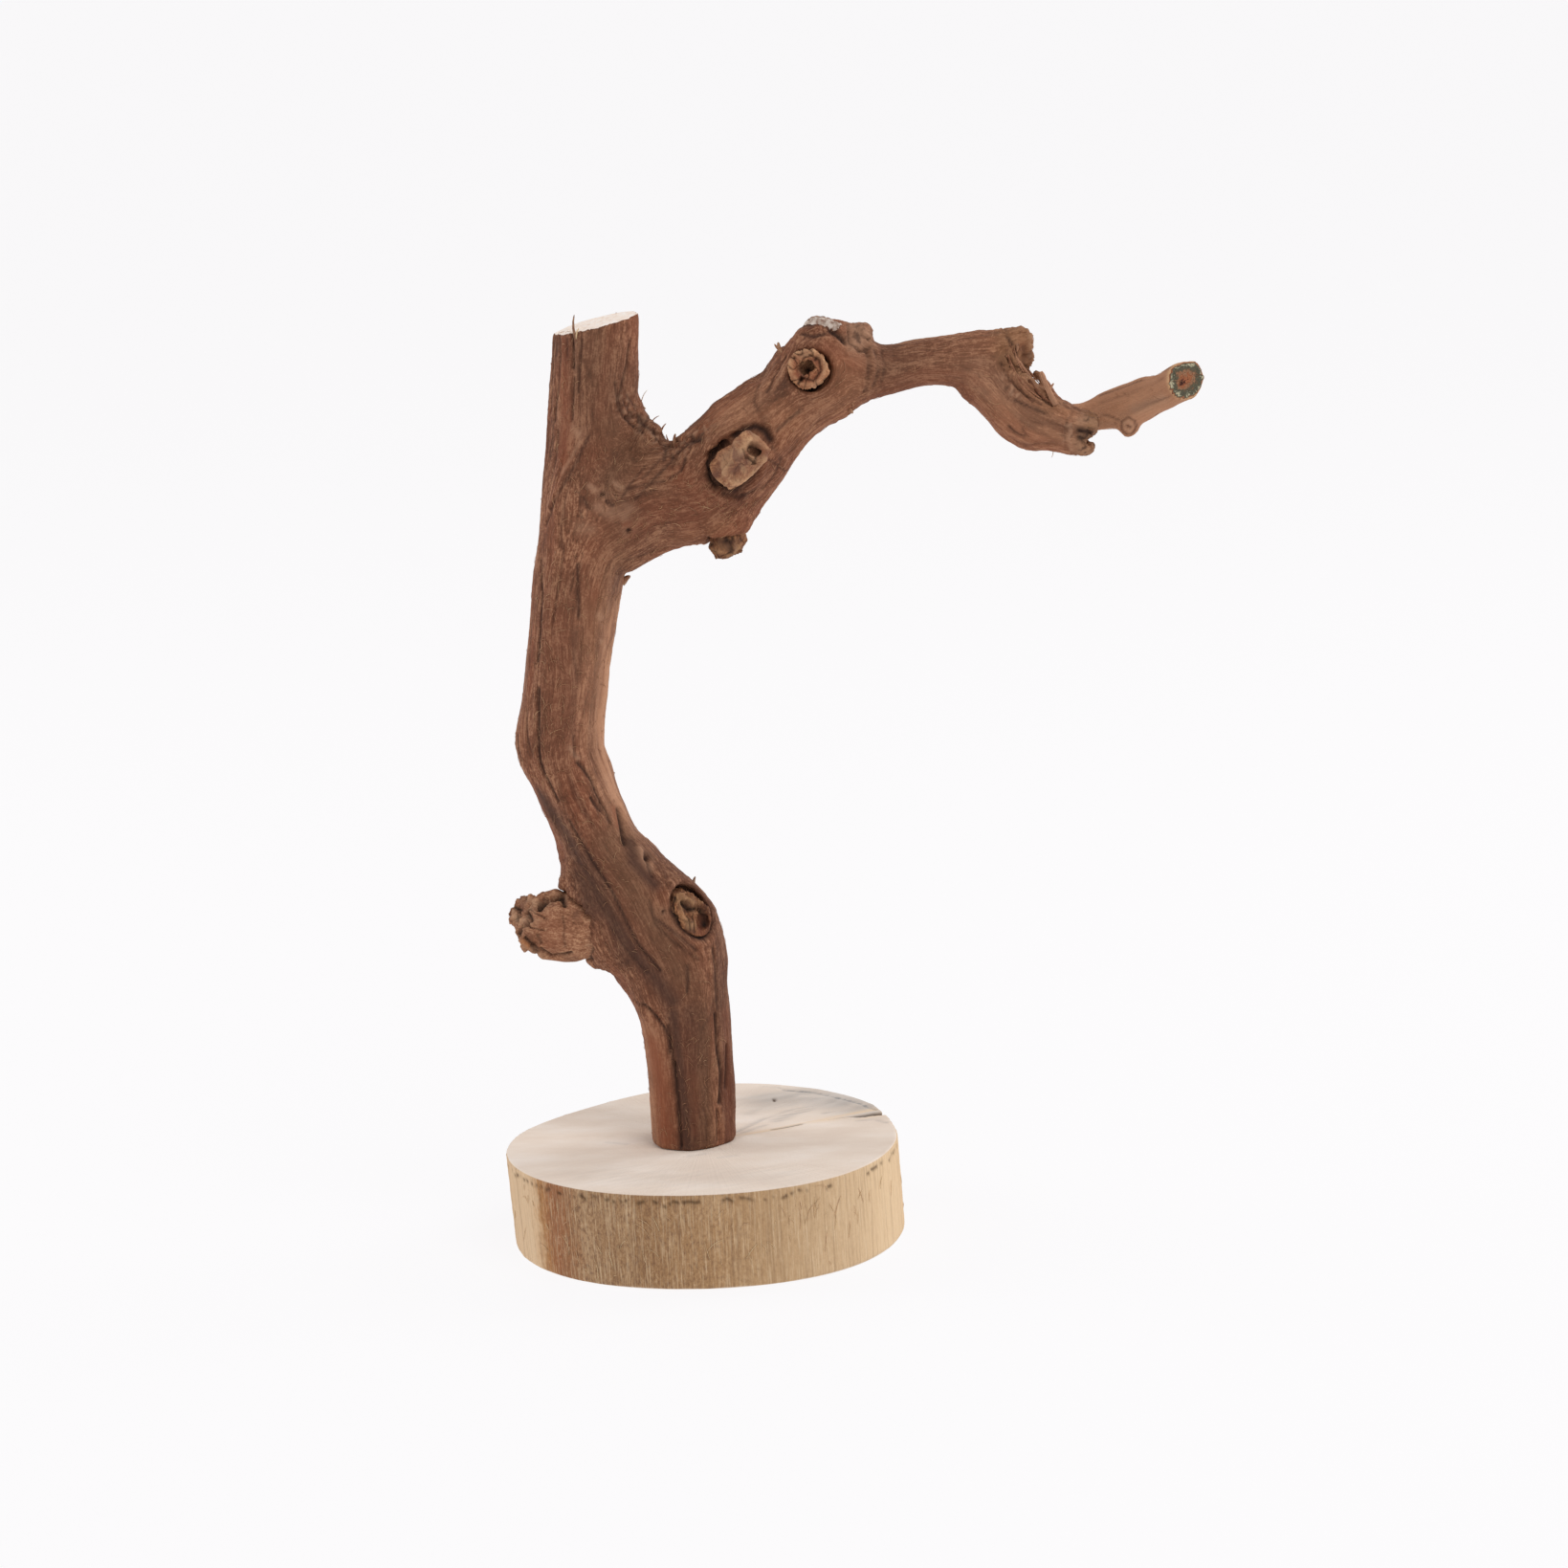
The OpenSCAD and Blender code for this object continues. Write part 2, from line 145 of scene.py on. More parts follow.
# %% [markdown]
# The studio: a white floor that runs on out of sight, and soft light from all round. Wood has no mirror
# gloss, so broad light shows its form best. The floor glows a little, as a lit sweep of paper does, and
# keeps only a faint shadow under the slice.

# %% Floor and light
floor_size, floor_gap = 14.0, 0.0004             # m, and the gap keeps the floor just clear of the slice
lit_spot = Vector((0.02, 0, 0.1))


def deselect():
    for thing in bpy.context.view_layer.objects:
        thing.select_set(False)


deselect()
bpy.ops.mesh.primitive_plane_add(size=floor_size, location=(0, 0, -floor_gap))
floor = bpy.context.object
floor.name = "paper_floor"
paper, tree, shader = new_material("white_paper_sweep", **{"Base Color": "#505050", "Roughness": 0.9})
shader.inputs["Emission Color"].default_value = (1.0, 0.99, 1.0, 1)
shader.inputs["Emission Strength"].default_value = 0.885
shader.inputs["Specular IOR Level"].default_value = 0.1
floor.data.materials.append(paper)

world = bpy.data.worlds.new("studio")
bpy.context.scene.world = world
world.use_nodes = True
world.node_tree.nodes["Background"].inputs["Color"].default_value = (0.985, 0.975, 0.985, 1)
world.node_tree.nodes["Background"].inputs["Strength"].default_value = 0.55
for name, place, size, watts in (("front_soft_box", (0.55, -0.75, 1.15), 0.7, 6.0),
                                 ("right_soft_box", (1.0, 0.35, 0.55), 0.6, 4.5),
                                 ("left_soft_box", (-1.0, 0.3, 0.6), 0.6, 4.0)):
    bpy.ops.object.light_add(type="AREA", location=place)
    lamp = bpy.context.object
    lamp.name = name
    lamp.data.size, lamp.data.energy = size, watts
    lamp.rotation_euler = (lit_spot - Vector(place)).to_track_quat("-Z", "Y").to_euler()
bpy.context.scene.view_settings.view_transform = "Standard"
print("floor, world and three soft boxes")

# %% [markdown]
# Wood is fibres, so every wave in its surface runs along the limb. To make such waves, each point of the
# branch is given the place it would have if its limb were pulled straight: two numbers across the limb and
# one along it. A noise that is stretched along that third number then gives ribs, fibres and cracks that
# follow each bend.


# %% Smooth noise and straightened limbs
lattice = np.random.default_rng(7).normal(size=(64, 3))
lattice /= np.linalg.norm(lattice, axis=1)[:, None]
primes = np.array([73856093, 19349663, 83492791])


def noise(points, seed=0):
    """Smooth noise of about -1 to 1: each lattice corner has a slope, and the slopes are faded together."""
    points = np.asarray(points, float)
    cell = np.floor(points).astype(np.int64)
    inside = points - cell
    fade = inside ** 3 * (inside * (inside * 6 - 15) + 10)
    total = np.zeros(len(points))
    for corner in np.ndindex(2, 2, 2):
        mixed = np.bitwise_xor.reduce((cell + corner) * primes, axis=1) ^ (seed * 2654435)
        mixed = (mixed ^ (mixed >> 11)) * 5851
        slope = lattice[(mixed ^ (mixed >> 7)) & 63]
        share = np.prod(np.where(corner, fade, 1 - fade), axis=1)
        total += share * np.einsum("ij,ij->i", inside - corner, slope)
    return total * 1.6


def fractal(points, seed, octaves):
    return sum(noise(np.asarray(points) * 2 ** i, seed + 11 * i) * 0.5 ** i for i in range(octaves))


def unit(v):
    v = np.asarray(v, float)
    return v / np.maximum(np.linalg.norm(v, axis=-1, keepdims=True), 1e-9)


def limb(stations, step=0.7):
    """A dense path through the stations, with its radius, run length and a frame that doesn't twist."""
    st = np.array(stations, float)
    pad = np.vstack([st[:1], st, st[-1:]])
    rows = []
    for a, b, c, d in zip(pad[:-3], pad[1:-2], pad[2:-1], pad[3:]):
        count = max(2, int(np.linalg.norm(c[:3] - b[:3]) / step))
        u = np.arange(count)[:, None] / count
        curve = 2 * b + (c - a) * u + (2 * a - 5 * b + 4 * c - d) * u ** 2 + (3 * b - a - 3 * c + d) * u ** 3
        rows.append(0.5 * curve)
    path = np.vstack(rows + [st[-1:]])
    heading = unit(np.gradient(path[:, :3], axis=0))
    side = np.zeros_like(heading)
    side[0] = unit(np.cross([0, 1, 0], heading[0]))
    for i in range(1, len(path)):
        side[i] = unit(side[i - 1] - np.dot(side[i - 1], heading[i]) * heading[i])
    run = np.concatenate([[0], np.cumsum(np.linalg.norm(np.diff(path[:, :3], axis=0), axis=1))])
    return {"at": path[:, :3], "r": path[:, 3:5].mean(1), "run": run, "heading": heading, "side": side,
            "back": np.cross(heading, side)}


print("noise at two places:", noise([(0.5, 0.5, 0.5), (1.5, 0.2, 0.7)]).round(2))

# %% [markdown]
# The runs below use the same measured stations as the CAD model: x, y, z and two half widths, in
# millimetres. Each run starts at the foot, because the fibres of every limb are rooted in the stem.

# %% The runs of the branch
slice_top, stem_height, stem_radius = 21, 179, 9.3
stem = [(x, y, slice_top + share * stem_height, w * stem_radius, d * stem_radius) for x, y, share, w, d in [
    (-2.4, 0, 0, .96, .94), (-2.2, 0, .07, 1, .97), (-2.4, .3, .13, 1.03, 1), (-3.3, 1, .18, 1.12, 1.06),
    (-5.2, 1.5, .23, 1.26, 1.12), (-8.8, 1.8, .28, 1.2, 1.14), (-14, 1.5, .33, 1.06, 1.06),
    (-18.5, 1, .37, .98, 1.02), (-21.7, .5, .42, .91, 1), (-24.6, 0, .47, .96, 1),
    (-25.8, -.3, .5, 1.01, 1), (-25, -.7, .54, .97, .98), (-23.4, -1, .59, .95, .98),
    (-21.6, -1, .65, .98, 1), (-20.2, -.8, .69, 1, 1.02), (-18.3, -.4, .75, 1.02, 1.06),
    (-16.2, 0, .82, 1.04, 1.06), (-15, .5, .87, 1.02, 1.01), (-14.1, 1, .93, .99, .98),
    (-12.9, 1.5, .99, .95, .97), (-11.8, 2, 1.05, .95, .96)]]
fork = np.array([-18.09, -0.36, 156.45])


def off_fork(stations):
    return [(x + fork[0], y + fork[1], z + fork[2], w, d) for x, y, z, w, d in stations]


arm = off_fork([
    (3, .4, -2, 9.6, 8.4), (13.8, 0, 6.2, 12.2, 9.6), (25.4, -.6, 8.6, 12, 10.2),
    (34, -1.6, 16, 11.2, 10.2), (40.2, -2.6, 21.5, 9.7, 9.6), (47, -3.1, 27, 9.3, 9.2),
    (54, -3, 30.8, 9, 8.8), (60.4, -2.6, 31.2, 7.3, 7.4), (66.4, -2.2, 30.9, 5.4, 5.8),
    (72.6, -1.8, 31.9, 5.2, 5.3)])
arm_end = off_fork([
    (78.4, -1.4, 32.2, 5.5, 5.4), (84, -1.2, 32, 5.9, 5.6), (90.2, -1, 32.6, 5.4, 5),
    (96, -.8, 34.2, 4.4, 4.2)])
bend = off_fork([
    (80, -1.2, 30.6, 5.4, 5.2), (86.2, -1.3, 28.2, 7, 5.6), (89.6, -2, 24.4, 6.6, 6.2),
    (93.9, -3, 20.4, 6.7, 6.2)])
bend_end = off_fork([
    (99, -3.8, 18.1, 6, 5.8), (103.4, -4.4, 16.4, 4.9, 5.2), (108.6, -4.8, 15, 4.3, 4.6),
    (112, -5, 14, 4.2, 4.4)])
twig = off_fork([
    (98, -.4, 19.4, 2.6, 2.8), (104.2, 2.4, 18.2, 2.8, 3), (111.4, 2, 17.8, 3.1, 3.2),
    (117.4, -.6, 20.1, 4, 3.7), (122.6, -4, 23.1, 4.1, 3.9), (126.2, -7.6, 25.6, 3.9, 4),
    (129.4, -11.6, 28.4, 3.9, 4)])
knob = off_fork([
    (51, -3.4, 31, 8.2, 8.6), (52.4, -3.8, 36.2, 7.6, 7.8), (53.8, -3.8, 39.8, 5.8, 6),
    (54.4, -3.6, 42.2, 4.2, 4.6)])
low_stem = stem[:14] + [(-18.8, -.5, 149, 9.8, 9.4)]
runs = {"arm": limb(low_stem + arm + bend + bend_end), "top": limb(stem),
        "tip": limb(low_stem + arm + arm_end), "twig": limb(low_stem + arm + bend + twig),
        "knob": limb(low_stem + arm[:5] + knob)}
print("run lengths, mm:", {name: round(run["run"][-1]) for name, run in runs.items()})

# %% [markdown]
# Fibres part round a dead knot as water does round a stone. Before a point is straightened, it is drawn
# towards the knot's axis, more so the nearer it is, which gives the same picture as fibres that bow round
# the knot.


# %% Straighten a set of points
# How far round each knot the fibres bow, in mm.
knots = {"front_stub": 5.0, "eye_knot": 4.6, "oval_knot": 4.8, "arm_nub": 4.0, "broken_stub": 7.2}
knot_at = {}
for name in knots:
    low, high = (np.array(v) * 1000 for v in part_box(name))
    knot_at[name] = (low + high) / 2
knot_at["oval_knot"] += (0.6, 0, -0.8)
batch = 4000                                     # points measured at once, to keep the memory small


def nearest(run, points):
    found = np.empty(len(points), np.int64)
    path = run["at"].astype(np.float32)
    for start in range(0, len(points), batch):
        part = points[start:start + batch].astype(np.float32)
        found[start:start + batch] = ((part[:, None] - path[None]) ** 2).sum(2).argmin(1)
    return found


def straighten(points):
    """Places across and along the limb in mm, its heading, each run's share, and the places on each run."""
    pulled = points.copy()
    for name, reach in knots.items():
        off = points - knot_at[name]
        gap = np.linalg.norm(off, axis=1)
        close = gap < reach * 3
        pull = np.minimum(0.8, (reach * 0.8) ** 2 / np.maximum(gap, 1) ** 2)
        pulled[close] -= (off * pull[:, None] * np.clip(1.5 - gap / reach / 2, 0, 1)[:, None])[close]
    places, nearness, headings = [], [], []
    for run in runs.values():
        k = nearest(run, pulled)
        off = pulled - run["at"][k]
        along = np.einsum("ij,ij->i", off, run["heading"][k])
        beyond = np.where(k == len(run["run"]) - 1, np.maximum(along, 0), 0)
        across = off - along[:, None] * run["heading"][k]
        to_side, to_back = (np.einsum("ij,ij->i", across, run[way][k]) for way in ("side", "back"))
        places.append(np.stack([to_side, to_back, run["run"][k] + along], axis=1))
        nearness.append((np.linalg.norm(across, axis=1) + beyond * 2) / run["r"][k])
        headings.append(run["heading"][k])
    nearness = np.array(nearness)
    share = np.exp(-7 * (nearness - nearness.min(0)))
    share /= share.sum(0)
    place = sum(s[:, None] * p for s, p in zip(share, places))
    heading = unit(sum(s[:, None] * h for s, h in zip(share, headings)))
    return place, heading, dict(zip(runs, share)), places


print("knots at, mm:", {name: [round(v) for v in at] for name, at in knot_at.items()})

# %% [markdown]
# The branch skin. The real limb is one grown piece of wood without joins, so the way to sculpt it is to
# take the CAD solid, wrap an even net of small faces round it with a voxel remesh, and smooth away the CAD
# model's flat facets. The net is about 0.46 mm fine, so ribs and cracks are real dents in the mesh and not
# only shading.


# %% A fine net over a CAD solid
branch_net = 0.46                                # mm


def weld(threshold, turn_out=True):
    bpy.ops.object.mode_set(mode="EDIT")
    bpy.ops.mesh.select_all(action="SELECT")
    bpy.ops.mesh.remove_doubles(threshold=threshold)
    if turn_out:
        bpy.ops.mesh.normals_make_consistent(inside=False)
    bpy.ops.object.mode_set(mode="OBJECT")


def even_net(thing, voxel, rounds):
    """Wrap an even net round the active object, its faces voxel mm wide, and smooth it by so many rounds."""
    remesh = thing.modifiers.new("net", "REMESH")
    remesh.mode, remesh.voxel_size = "VOXEL", voxel / 1000
    bpy.ops.object.modifier_apply(modifier="net")
    smooth = thing.modifiers.new("soften", "SMOOTH")
    smooth.factor, smooth.iterations = 0.5, rounds
    bpy.ops.object.modifier_apply(modifier="soften")
    print(thing.name, "has", len(thing.data.polygons), "quads")


def net_over(node, name, voxel, rounds):
    deselect()
    skin = frame["nodes"][node].copy()
    skin.data = frame["nodes"][node].data.copy()
    bpy.context.scene.collection.objects.link(skin)
    for key in list(skin.keys()):
        del skin[key]
    skin.name = skin.data.name = name
    skin.parent = None
    skin.data.materials.clear()
    skin.select_set(True)
    bpy.context.view_layer.objects.active = skin
    weld(0.000002, turn_out=False)
    even_net(skin, voxel, rounds)
    return skin


def points_of(thing):
    flat = np.empty(len(thing.data.vertices) * 3)
    thing.data.vertices.foreach_get("co", flat)
    return flat.reshape(-1, 3) * 1000


def normals_of(thing):
    flat = np.empty(len(thing.data.vertices) * 3)
    thing.data.vertex_normals.foreach_get("vector", flat)
    return flat.reshape(-1, 3)


def move_points(thing, points):
    thing.data.vertices.foreach_set("co", (points / 1000).ravel())
    thing.data.update()


def keep_value(thing, name, values):
    values = np.asarray(values, float)
    kind = "FLOAT" if values.ndim == 1 else "FLOAT_VECTOR"
    layer = thing.data.attributes.get(name) or thing.data.attributes.new(name, kind, "POINT")
    layer.data.foreach_set("value" if values.ndim == 1 else "vector", values.ravel())


branch = net_over("branch", "branch_skin", branch_net, 7)

# %% [markdown]
# Marks that a viewer would look for are placed from the front: a point in the 1639 pixel picture is sent
# from the camera onto the wood as a ray. A mark is a line of such points with a width, a depth and a tint,
# so it lies on the skin wherever it is.


# %% Send picture points onto the wood
half_view = sensor / 2 / focal
sight = np.array(ahead)


def tree_of(*things):
    corners, faces = [], []
    for thing in things:
        start = len(corners)
        corners += [v.co.copy() for v in thing.data.vertices]
        faces += [[start + i for i in f.vertices] for f in thing.data.polygons]
    return BVHTree.FromPolygons(corners, faces)


def aim(points, tree):
    hits = []
    for px, py in points:
        u, v = (px / middle_pixel - 1) * half_view, (1 - py / middle_pixel) * half_view
        place = tree.ray_cast(eye_place, (ahead + cam_x * u + cam_y * v).normalized())[0]
        if place is not None:
            hits.append(np.array(place) * 1000)
    return np.array(hits)


def picture_step(to_right, down):
    """So many picture pixels right and down, as a step in mm at the branch."""
    return (np.array(cam_x) * to_right - np.array(cam_y) * down) * pixel


def line_field(points, line, width):
    """1 on the line, falling to 0 about two widths away."""
    out = np.zeros(len(points))
    if len(line) == 0:
        return out
    if len(line) > 1:
        steps = [a + (b - a) * u for a, b in zip(line[:-1], line[1:])
                 for u in np.arange(0, 1, 1 / max(1, np.ceil(np.linalg.norm(b - a) / (width * 0.6))))]
        line = np.array(steps + [line[-1]])
    reach = width * 2.4
    close = np.all((points > line.min(0) - reach) & (points < line.max(0) + reach), axis=1)
    where = np.flatnonzero(close)
    for start in range(0, len(where), batch):
        some = where[start:start + batch]
        gap = np.sqrt(((points[some][:, None] - line[None]) ** 2).sum(2).min(1))
        out[some] = np.exp(-(gap / width) ** 2)
    return out


def rows_of(text):
    """Each row of the text holds words and numbers, then the picture points of a line, each written x,y."""
    rows = []
    for words in map(str.split, text.strip().splitlines()):
        facts = [word if word.isalpha() else float(word) for word in words if "," not in word]
        rows.append((*facts, [tuple(map(float, word.split(","))) for word in words if "," in word]))
    return rows


stem_seen = (600, 600)                           # picture point
print("a ray meets the stem at, mm:", aim([stem_seen], tree_of(branch)).round(1))

# %% [markdown]
# The CAD solid is smooth, and the real outline has small steps and hollows. Each row below takes hold of
# the skin near a picture point, as a grab brush does, and pulls it by so many pixels right and down, with a
# soft reach in mm.


# %% Grab and pull
seen_depths = np.linspace(0.98, 1.16, 90)        # m from the camera, from before the perch to behind it


def touch(px, py, tree):
    """The point of the wood that a ray passes nearest to."""
    way = ahead + cam_x * (px / middle_pixel - 1) * half_view + cam_y * (1 - py / middle_pixel) * half_view
    near = [tree.find_nearest(eye_place + way.normalized() * far) for far in seen_depths]
    return np.array(min(near, key=lambda hit: hit[3])[0]) * 1000


def pull_skin(thing, pulls):
    """A pull is px, py, pixels right, pixels down and reach in mm, and may add mm away from the camera."""
    tree, at = tree_of(thing), points_of(thing)
    for px, py, to_right, down, reach, *back in pulls:
        held = aim([(px, py)], tree)[0] if back else touch(px, py, tree)
        hold = np.exp(-(np.linalg.norm(at - held, axis=1) / reach) ** 2)
        at += hold[:, None] * (picture_step(to_right, down) + sight * sum(back))
    move_points(thing, at)
    print(len(pulls), "pulls on", thing.name)


pull_skin(branch, [
    (792, 385, 5, 12, 2.2), (816, 364, -3, -2, 1.6), (850, 388, -5, -1, 6), (722, 957, -1, 8, 7),
    (905, 342, 2, -3, 2), (886, 430, 2, 4, 3), (848, 459, -2, -3, 2.5), (727, 570, 0, -3, 3),
    (554, 610, -2.5, 0, 6), (551, 680, -2, 0, 6), (638, 689, -1.5, 0, 5), (540, 775, -2.5, 0, 3.5),
    (635, 797, 3, 0, 3.5), (581, 883, 4, -1, 4), (590, 921, -5, 0, 2), (708, 900, -3, 3, 3.5),
    (754, 964, 3, 0, 6), (1013, 430, 4, -4, 3), (1073, 470, 0, 3.5, 4), (1118, 474, 0, 4, 3),
    (1154, 413, -2, -8, 4), (1188, 396, -1, -5, 4), (1235, 375, 1, 2, 2.5), (1256, 392, 3, 1, 3),
    (1247, 412, 2, 4, 2), (1213, 435, 0, -2, 2.5), (1188, 447, 4, 1, 1.6), (1144, 463, 4, 0, 1.6),
    (683, 430, -4, 3, 2.4), (722, 441, 3, 6, 2.6), (794, 388, 2, 3, 2.4), (831, 342, 4, 4, 2.4),
    (915, 350, -5, 0, 1.8), (945, 353, 0, 2, 5), (985, 349, 0, 2, 5), (1083, 374, -8, 0, 1.8),
    (1081, 388, -5, -2, 1.5), (1104, 412, -3, 3, 1.8), (1030, 445, 2, -2, 2.5), (720, 573, 0, -3, 3),
    (666, 350, 1.2, 0, 5), (667, 392, 1.2, 0, 5), (573, 385, 2, 0, 8), (553, 830, 3, -1, 4),
    (570, 865, 2, -1, 3.5), (612, 1006, -1, 5, 2.5), (627, 1012, -3, 3, 3), (648, 1030, -3, 1, 3.5),
    (668, 1062, 2, 0, 2.5), (702, 898, -2, 2, 3), (745, 945, 2, -1, 3), (760, 1000, 2, 0, 4),
    (766, 1100, -1.5, 0, 5), (735, 978, 0, 6, 1.8), (994, 406, 2, 2, 2), (1181, 453, 0, 3, 1.4),
    (1081, 374, -4, -2, 1.2), (614, 1003, -7, 2, 1.8), (584, 892, 4, 0, 3.2), (672, 868, -2, 2, 3),
    (715, 905, -2, 2, 3), (712, 448, 2, 5, 2), (729, 431, 3, 4, 2.6), (796, 390, 2, 4, 2.4),
    (778, 402, 1, 3, 2.6), (918, 354, 0, 4, 2), (1150, 417, 0, -4, 3), (1170, 408, 0, -4, 3),
    (1206, 391, 1, 3, 3), (1078, 350, 4, -2, 1.8), (1081, 391, -6, 0, 1.8), (734, 488, 8, 0, 2.4),
    (742, 509, 5, -4, 2.2), (752, 464, 4, 3, 2), (775, 518, 0, -4, 2.2), (746, 549, 0, 12, 2.2, 0),
    (755, 545, 0, 14, 2.2, 0), (764, 543, 0, 15, 2.2, 0), (773, 542, 0, 15, 2.2, 0),
    (781, 543, -2, 12, 2.2, 0), (624, 998, -7, -1, 1.8), (848, 386, -3, -3, 5, 0)])
even_net(branch, branch_net, 2)

# %% [markdown]
# Now the skin itself. Broad ribs, narrower fibres and the fine splits all come from noise that is stretched
# along the limb. Then the marks of this one branch are cut in: long splits, the fold where the arm leaves
# the stem, wrinkles at the neck.

# %% Ribs, fibres and splits
saw_slope = math.radians(11)
top_saw = unit([-math.sin(saw_slope), 0, math.cos(saw_slope)])
twig_saw = unit([.35, -.92, .12])
points, normals = points_of(branch), normals_of(branch)
place, heading, share, places = straighten(points)
bends = np.stack([noise(points * 0.05, 3), noise(points * 0.05, 4), np.zeros(len(points))], axis=1)
place = place + bends * 1.6
skin_tree = tree_of(branch)

end_cut = (normals @ top_saw > 0.93) & (points[:, 2] > 194) & (points[:, 0] < 4)
twig_cut = (normals @ twig_saw > 0.9) & (points[:, 0] > 103)
foot = points[:, 2] < slice_top + 0.6
# How freely the surface may move: not at all on the flat saw cuts, and half on the twig's end.
calm = np.ones(len(points))
calm[end_cut | foot] = 0
calm[twig_cut] = 0.5
near_top = np.clip((201.5 - points[:, 2] + (points[:, 0] + 13) * 0.19) / 1.5, 0, 1)

ribs = noise(place * (0.24, 0.24, 0.014), 21)
fibres = 0.35 - np.abs(noise(place * (0.60, 0.60, 0.035), 22)) * 2
threads = noise(place * (1.05, 1.05, 0.09), 23)
lumps = noise(points * 0.11, 24)
split_line = noise(place * (0.21, 0.21, 0.014), 25)
split_where = np.clip(noise(place * (0.12, 0.12, 0.03), 26) * 4 - 0.5, 0, 1)
splits = np.exp(-(split_line / 0.05) ** 2) * split_where
arm_gnarl = line_field(points, fork + np.array([(10, 0, 20), (30, -2, 12), (50, -3, 34), (58, -3, 36)]), 9)
bend_gnarl = line_field(points, fork + np.array([(88, -1, 32), (96, -2, 22), (104, -4, 16)]), 7)
gnarl = np.clip(arm_gnarl + bend_gnarl, 0, 1)
height = 0.2 * ribs + 0.14 * fibres + 0.1 * threads + 0.35 * lumps * (0.5 + gnarl) - 0.3 * splits
height += gnarl * 0.3 * noise(points * 0.35, 27) + (0.06 + 0.12 * gnarl) * noise(points * 0.8, 28)
print("surface noise, mm:", round(height.min(), 2), round(height.max(), 2))

# %% [markdown]
# The marks of this branch, as tables. Each row holds a kind, a width and a depth in mm, the strength of the
# tint, then the picture points of its line. A split is a groove painted nearly black, as painted shade inside
# the crack, a band is the purple-brown of weathered sapwood, pale is where the skin is worn to new wood, and
# red is the wood under the skin. The rubbed and fresh kinds lighten the skin, and along the
# stem's right edge they are painted rim light. A ridge only stands up, and smooth wears down what is there.

# %% Broad zones of the branch
# The rubbed row at 641,640 and the fresh row at 628,640 paint a lighter strip down the stem's right edge:
# painted rim light.
zones = rows_of("""
smooth 9 0 .75 640,450 655,500 640,540
smooth 8 0 .7 640,890 665,940 695,1000
smooth 5 0 .5 630,360 628,410
olive 5 0 .9 638,880 662,930 690,980 712,1020
olive 9 0 .45 620,380 640,440 700,480
olive 6 0 .5 915,385 935,385
rubbed 4 0 .4 1020,400 1045,425 1080,445 1110,455
rubbed 4 0 1 641,640 634,700 629,760 637,810 652,850
rubbed 2.2 0 .35 680,1080 684,1190
rubbed 5 0 .15 612,640 604,760
smooth 3 0 .5 1010,385 960,380
band 9 0 .22 600,880 640,960 690,1030
band 7 0 .28 585,620 590,700 585,780
band 6 0 .3 640,500 680,560 720,540
red 7 0 .3 720,520 770,520 800,480
band 8 0 .18 720,520 790,500
fresh 6 0 .35 628,640 625,700 624,770
fresh 6 0 .5 1060,430 1100,450
fresh 5 0 .45 865,430 900,400 880,375
fresh 5 0 .3 760,430 790,425
band 3.2 0 .6 720,1060 722,1120 722,1195
fresh 6 0 .3 1000,380 1040,360
rubbed 5 0 .3 760,434 795,425
fresh 5 0 .5 780,440 830,440
fresh 4 0 .5 1060,350 1070,345
olive 6 0 .75 692,962 715,1010 733,1050
smooth 6 0 .5 692,962 715,1010 733,1050
band 3.2 0 .75 612,900 626,935 644,972 656,1004
band 8 0 .3 600,360 640,400 610,440
band 8 0 .35 925,385 960,378 1000,380
band 6 0 .25 840,350 855,430
band 7 0 .25 620,500 670,540
split 6 0 .14 728,1070 732,1190
split 4 0 .14 758,1080 760,1190
rubbed 7 0 .4 1050,420 1085,450 1110,452
rubbed 3 0 .45 1064,350 1075,395 1095,420""")
# The wide band rows at the top of the stem, the fork and the neck darken the wood there.
twig_share = share["twig"] * np.clip((points[:, 0] - 77) / 6, 0, 1)
tints = {kind: np.zeros(len(points)) for kind in ("split", "band", "pale", "red", "olive")}
twig_run = (points[:, 0] - 76) / 9
tints["rubbed"] = twig_share * np.clip(0.8 + noise(place * (0.3, 0.3, 0.05), 34), 0.3, 1)
tints["fresh"] = 0.7 * share["twig"] * np.clip(twig_run + 0.3 * noise(points * 0.4, 33), 0, 1)
print(len(zones), "zones on the branch")

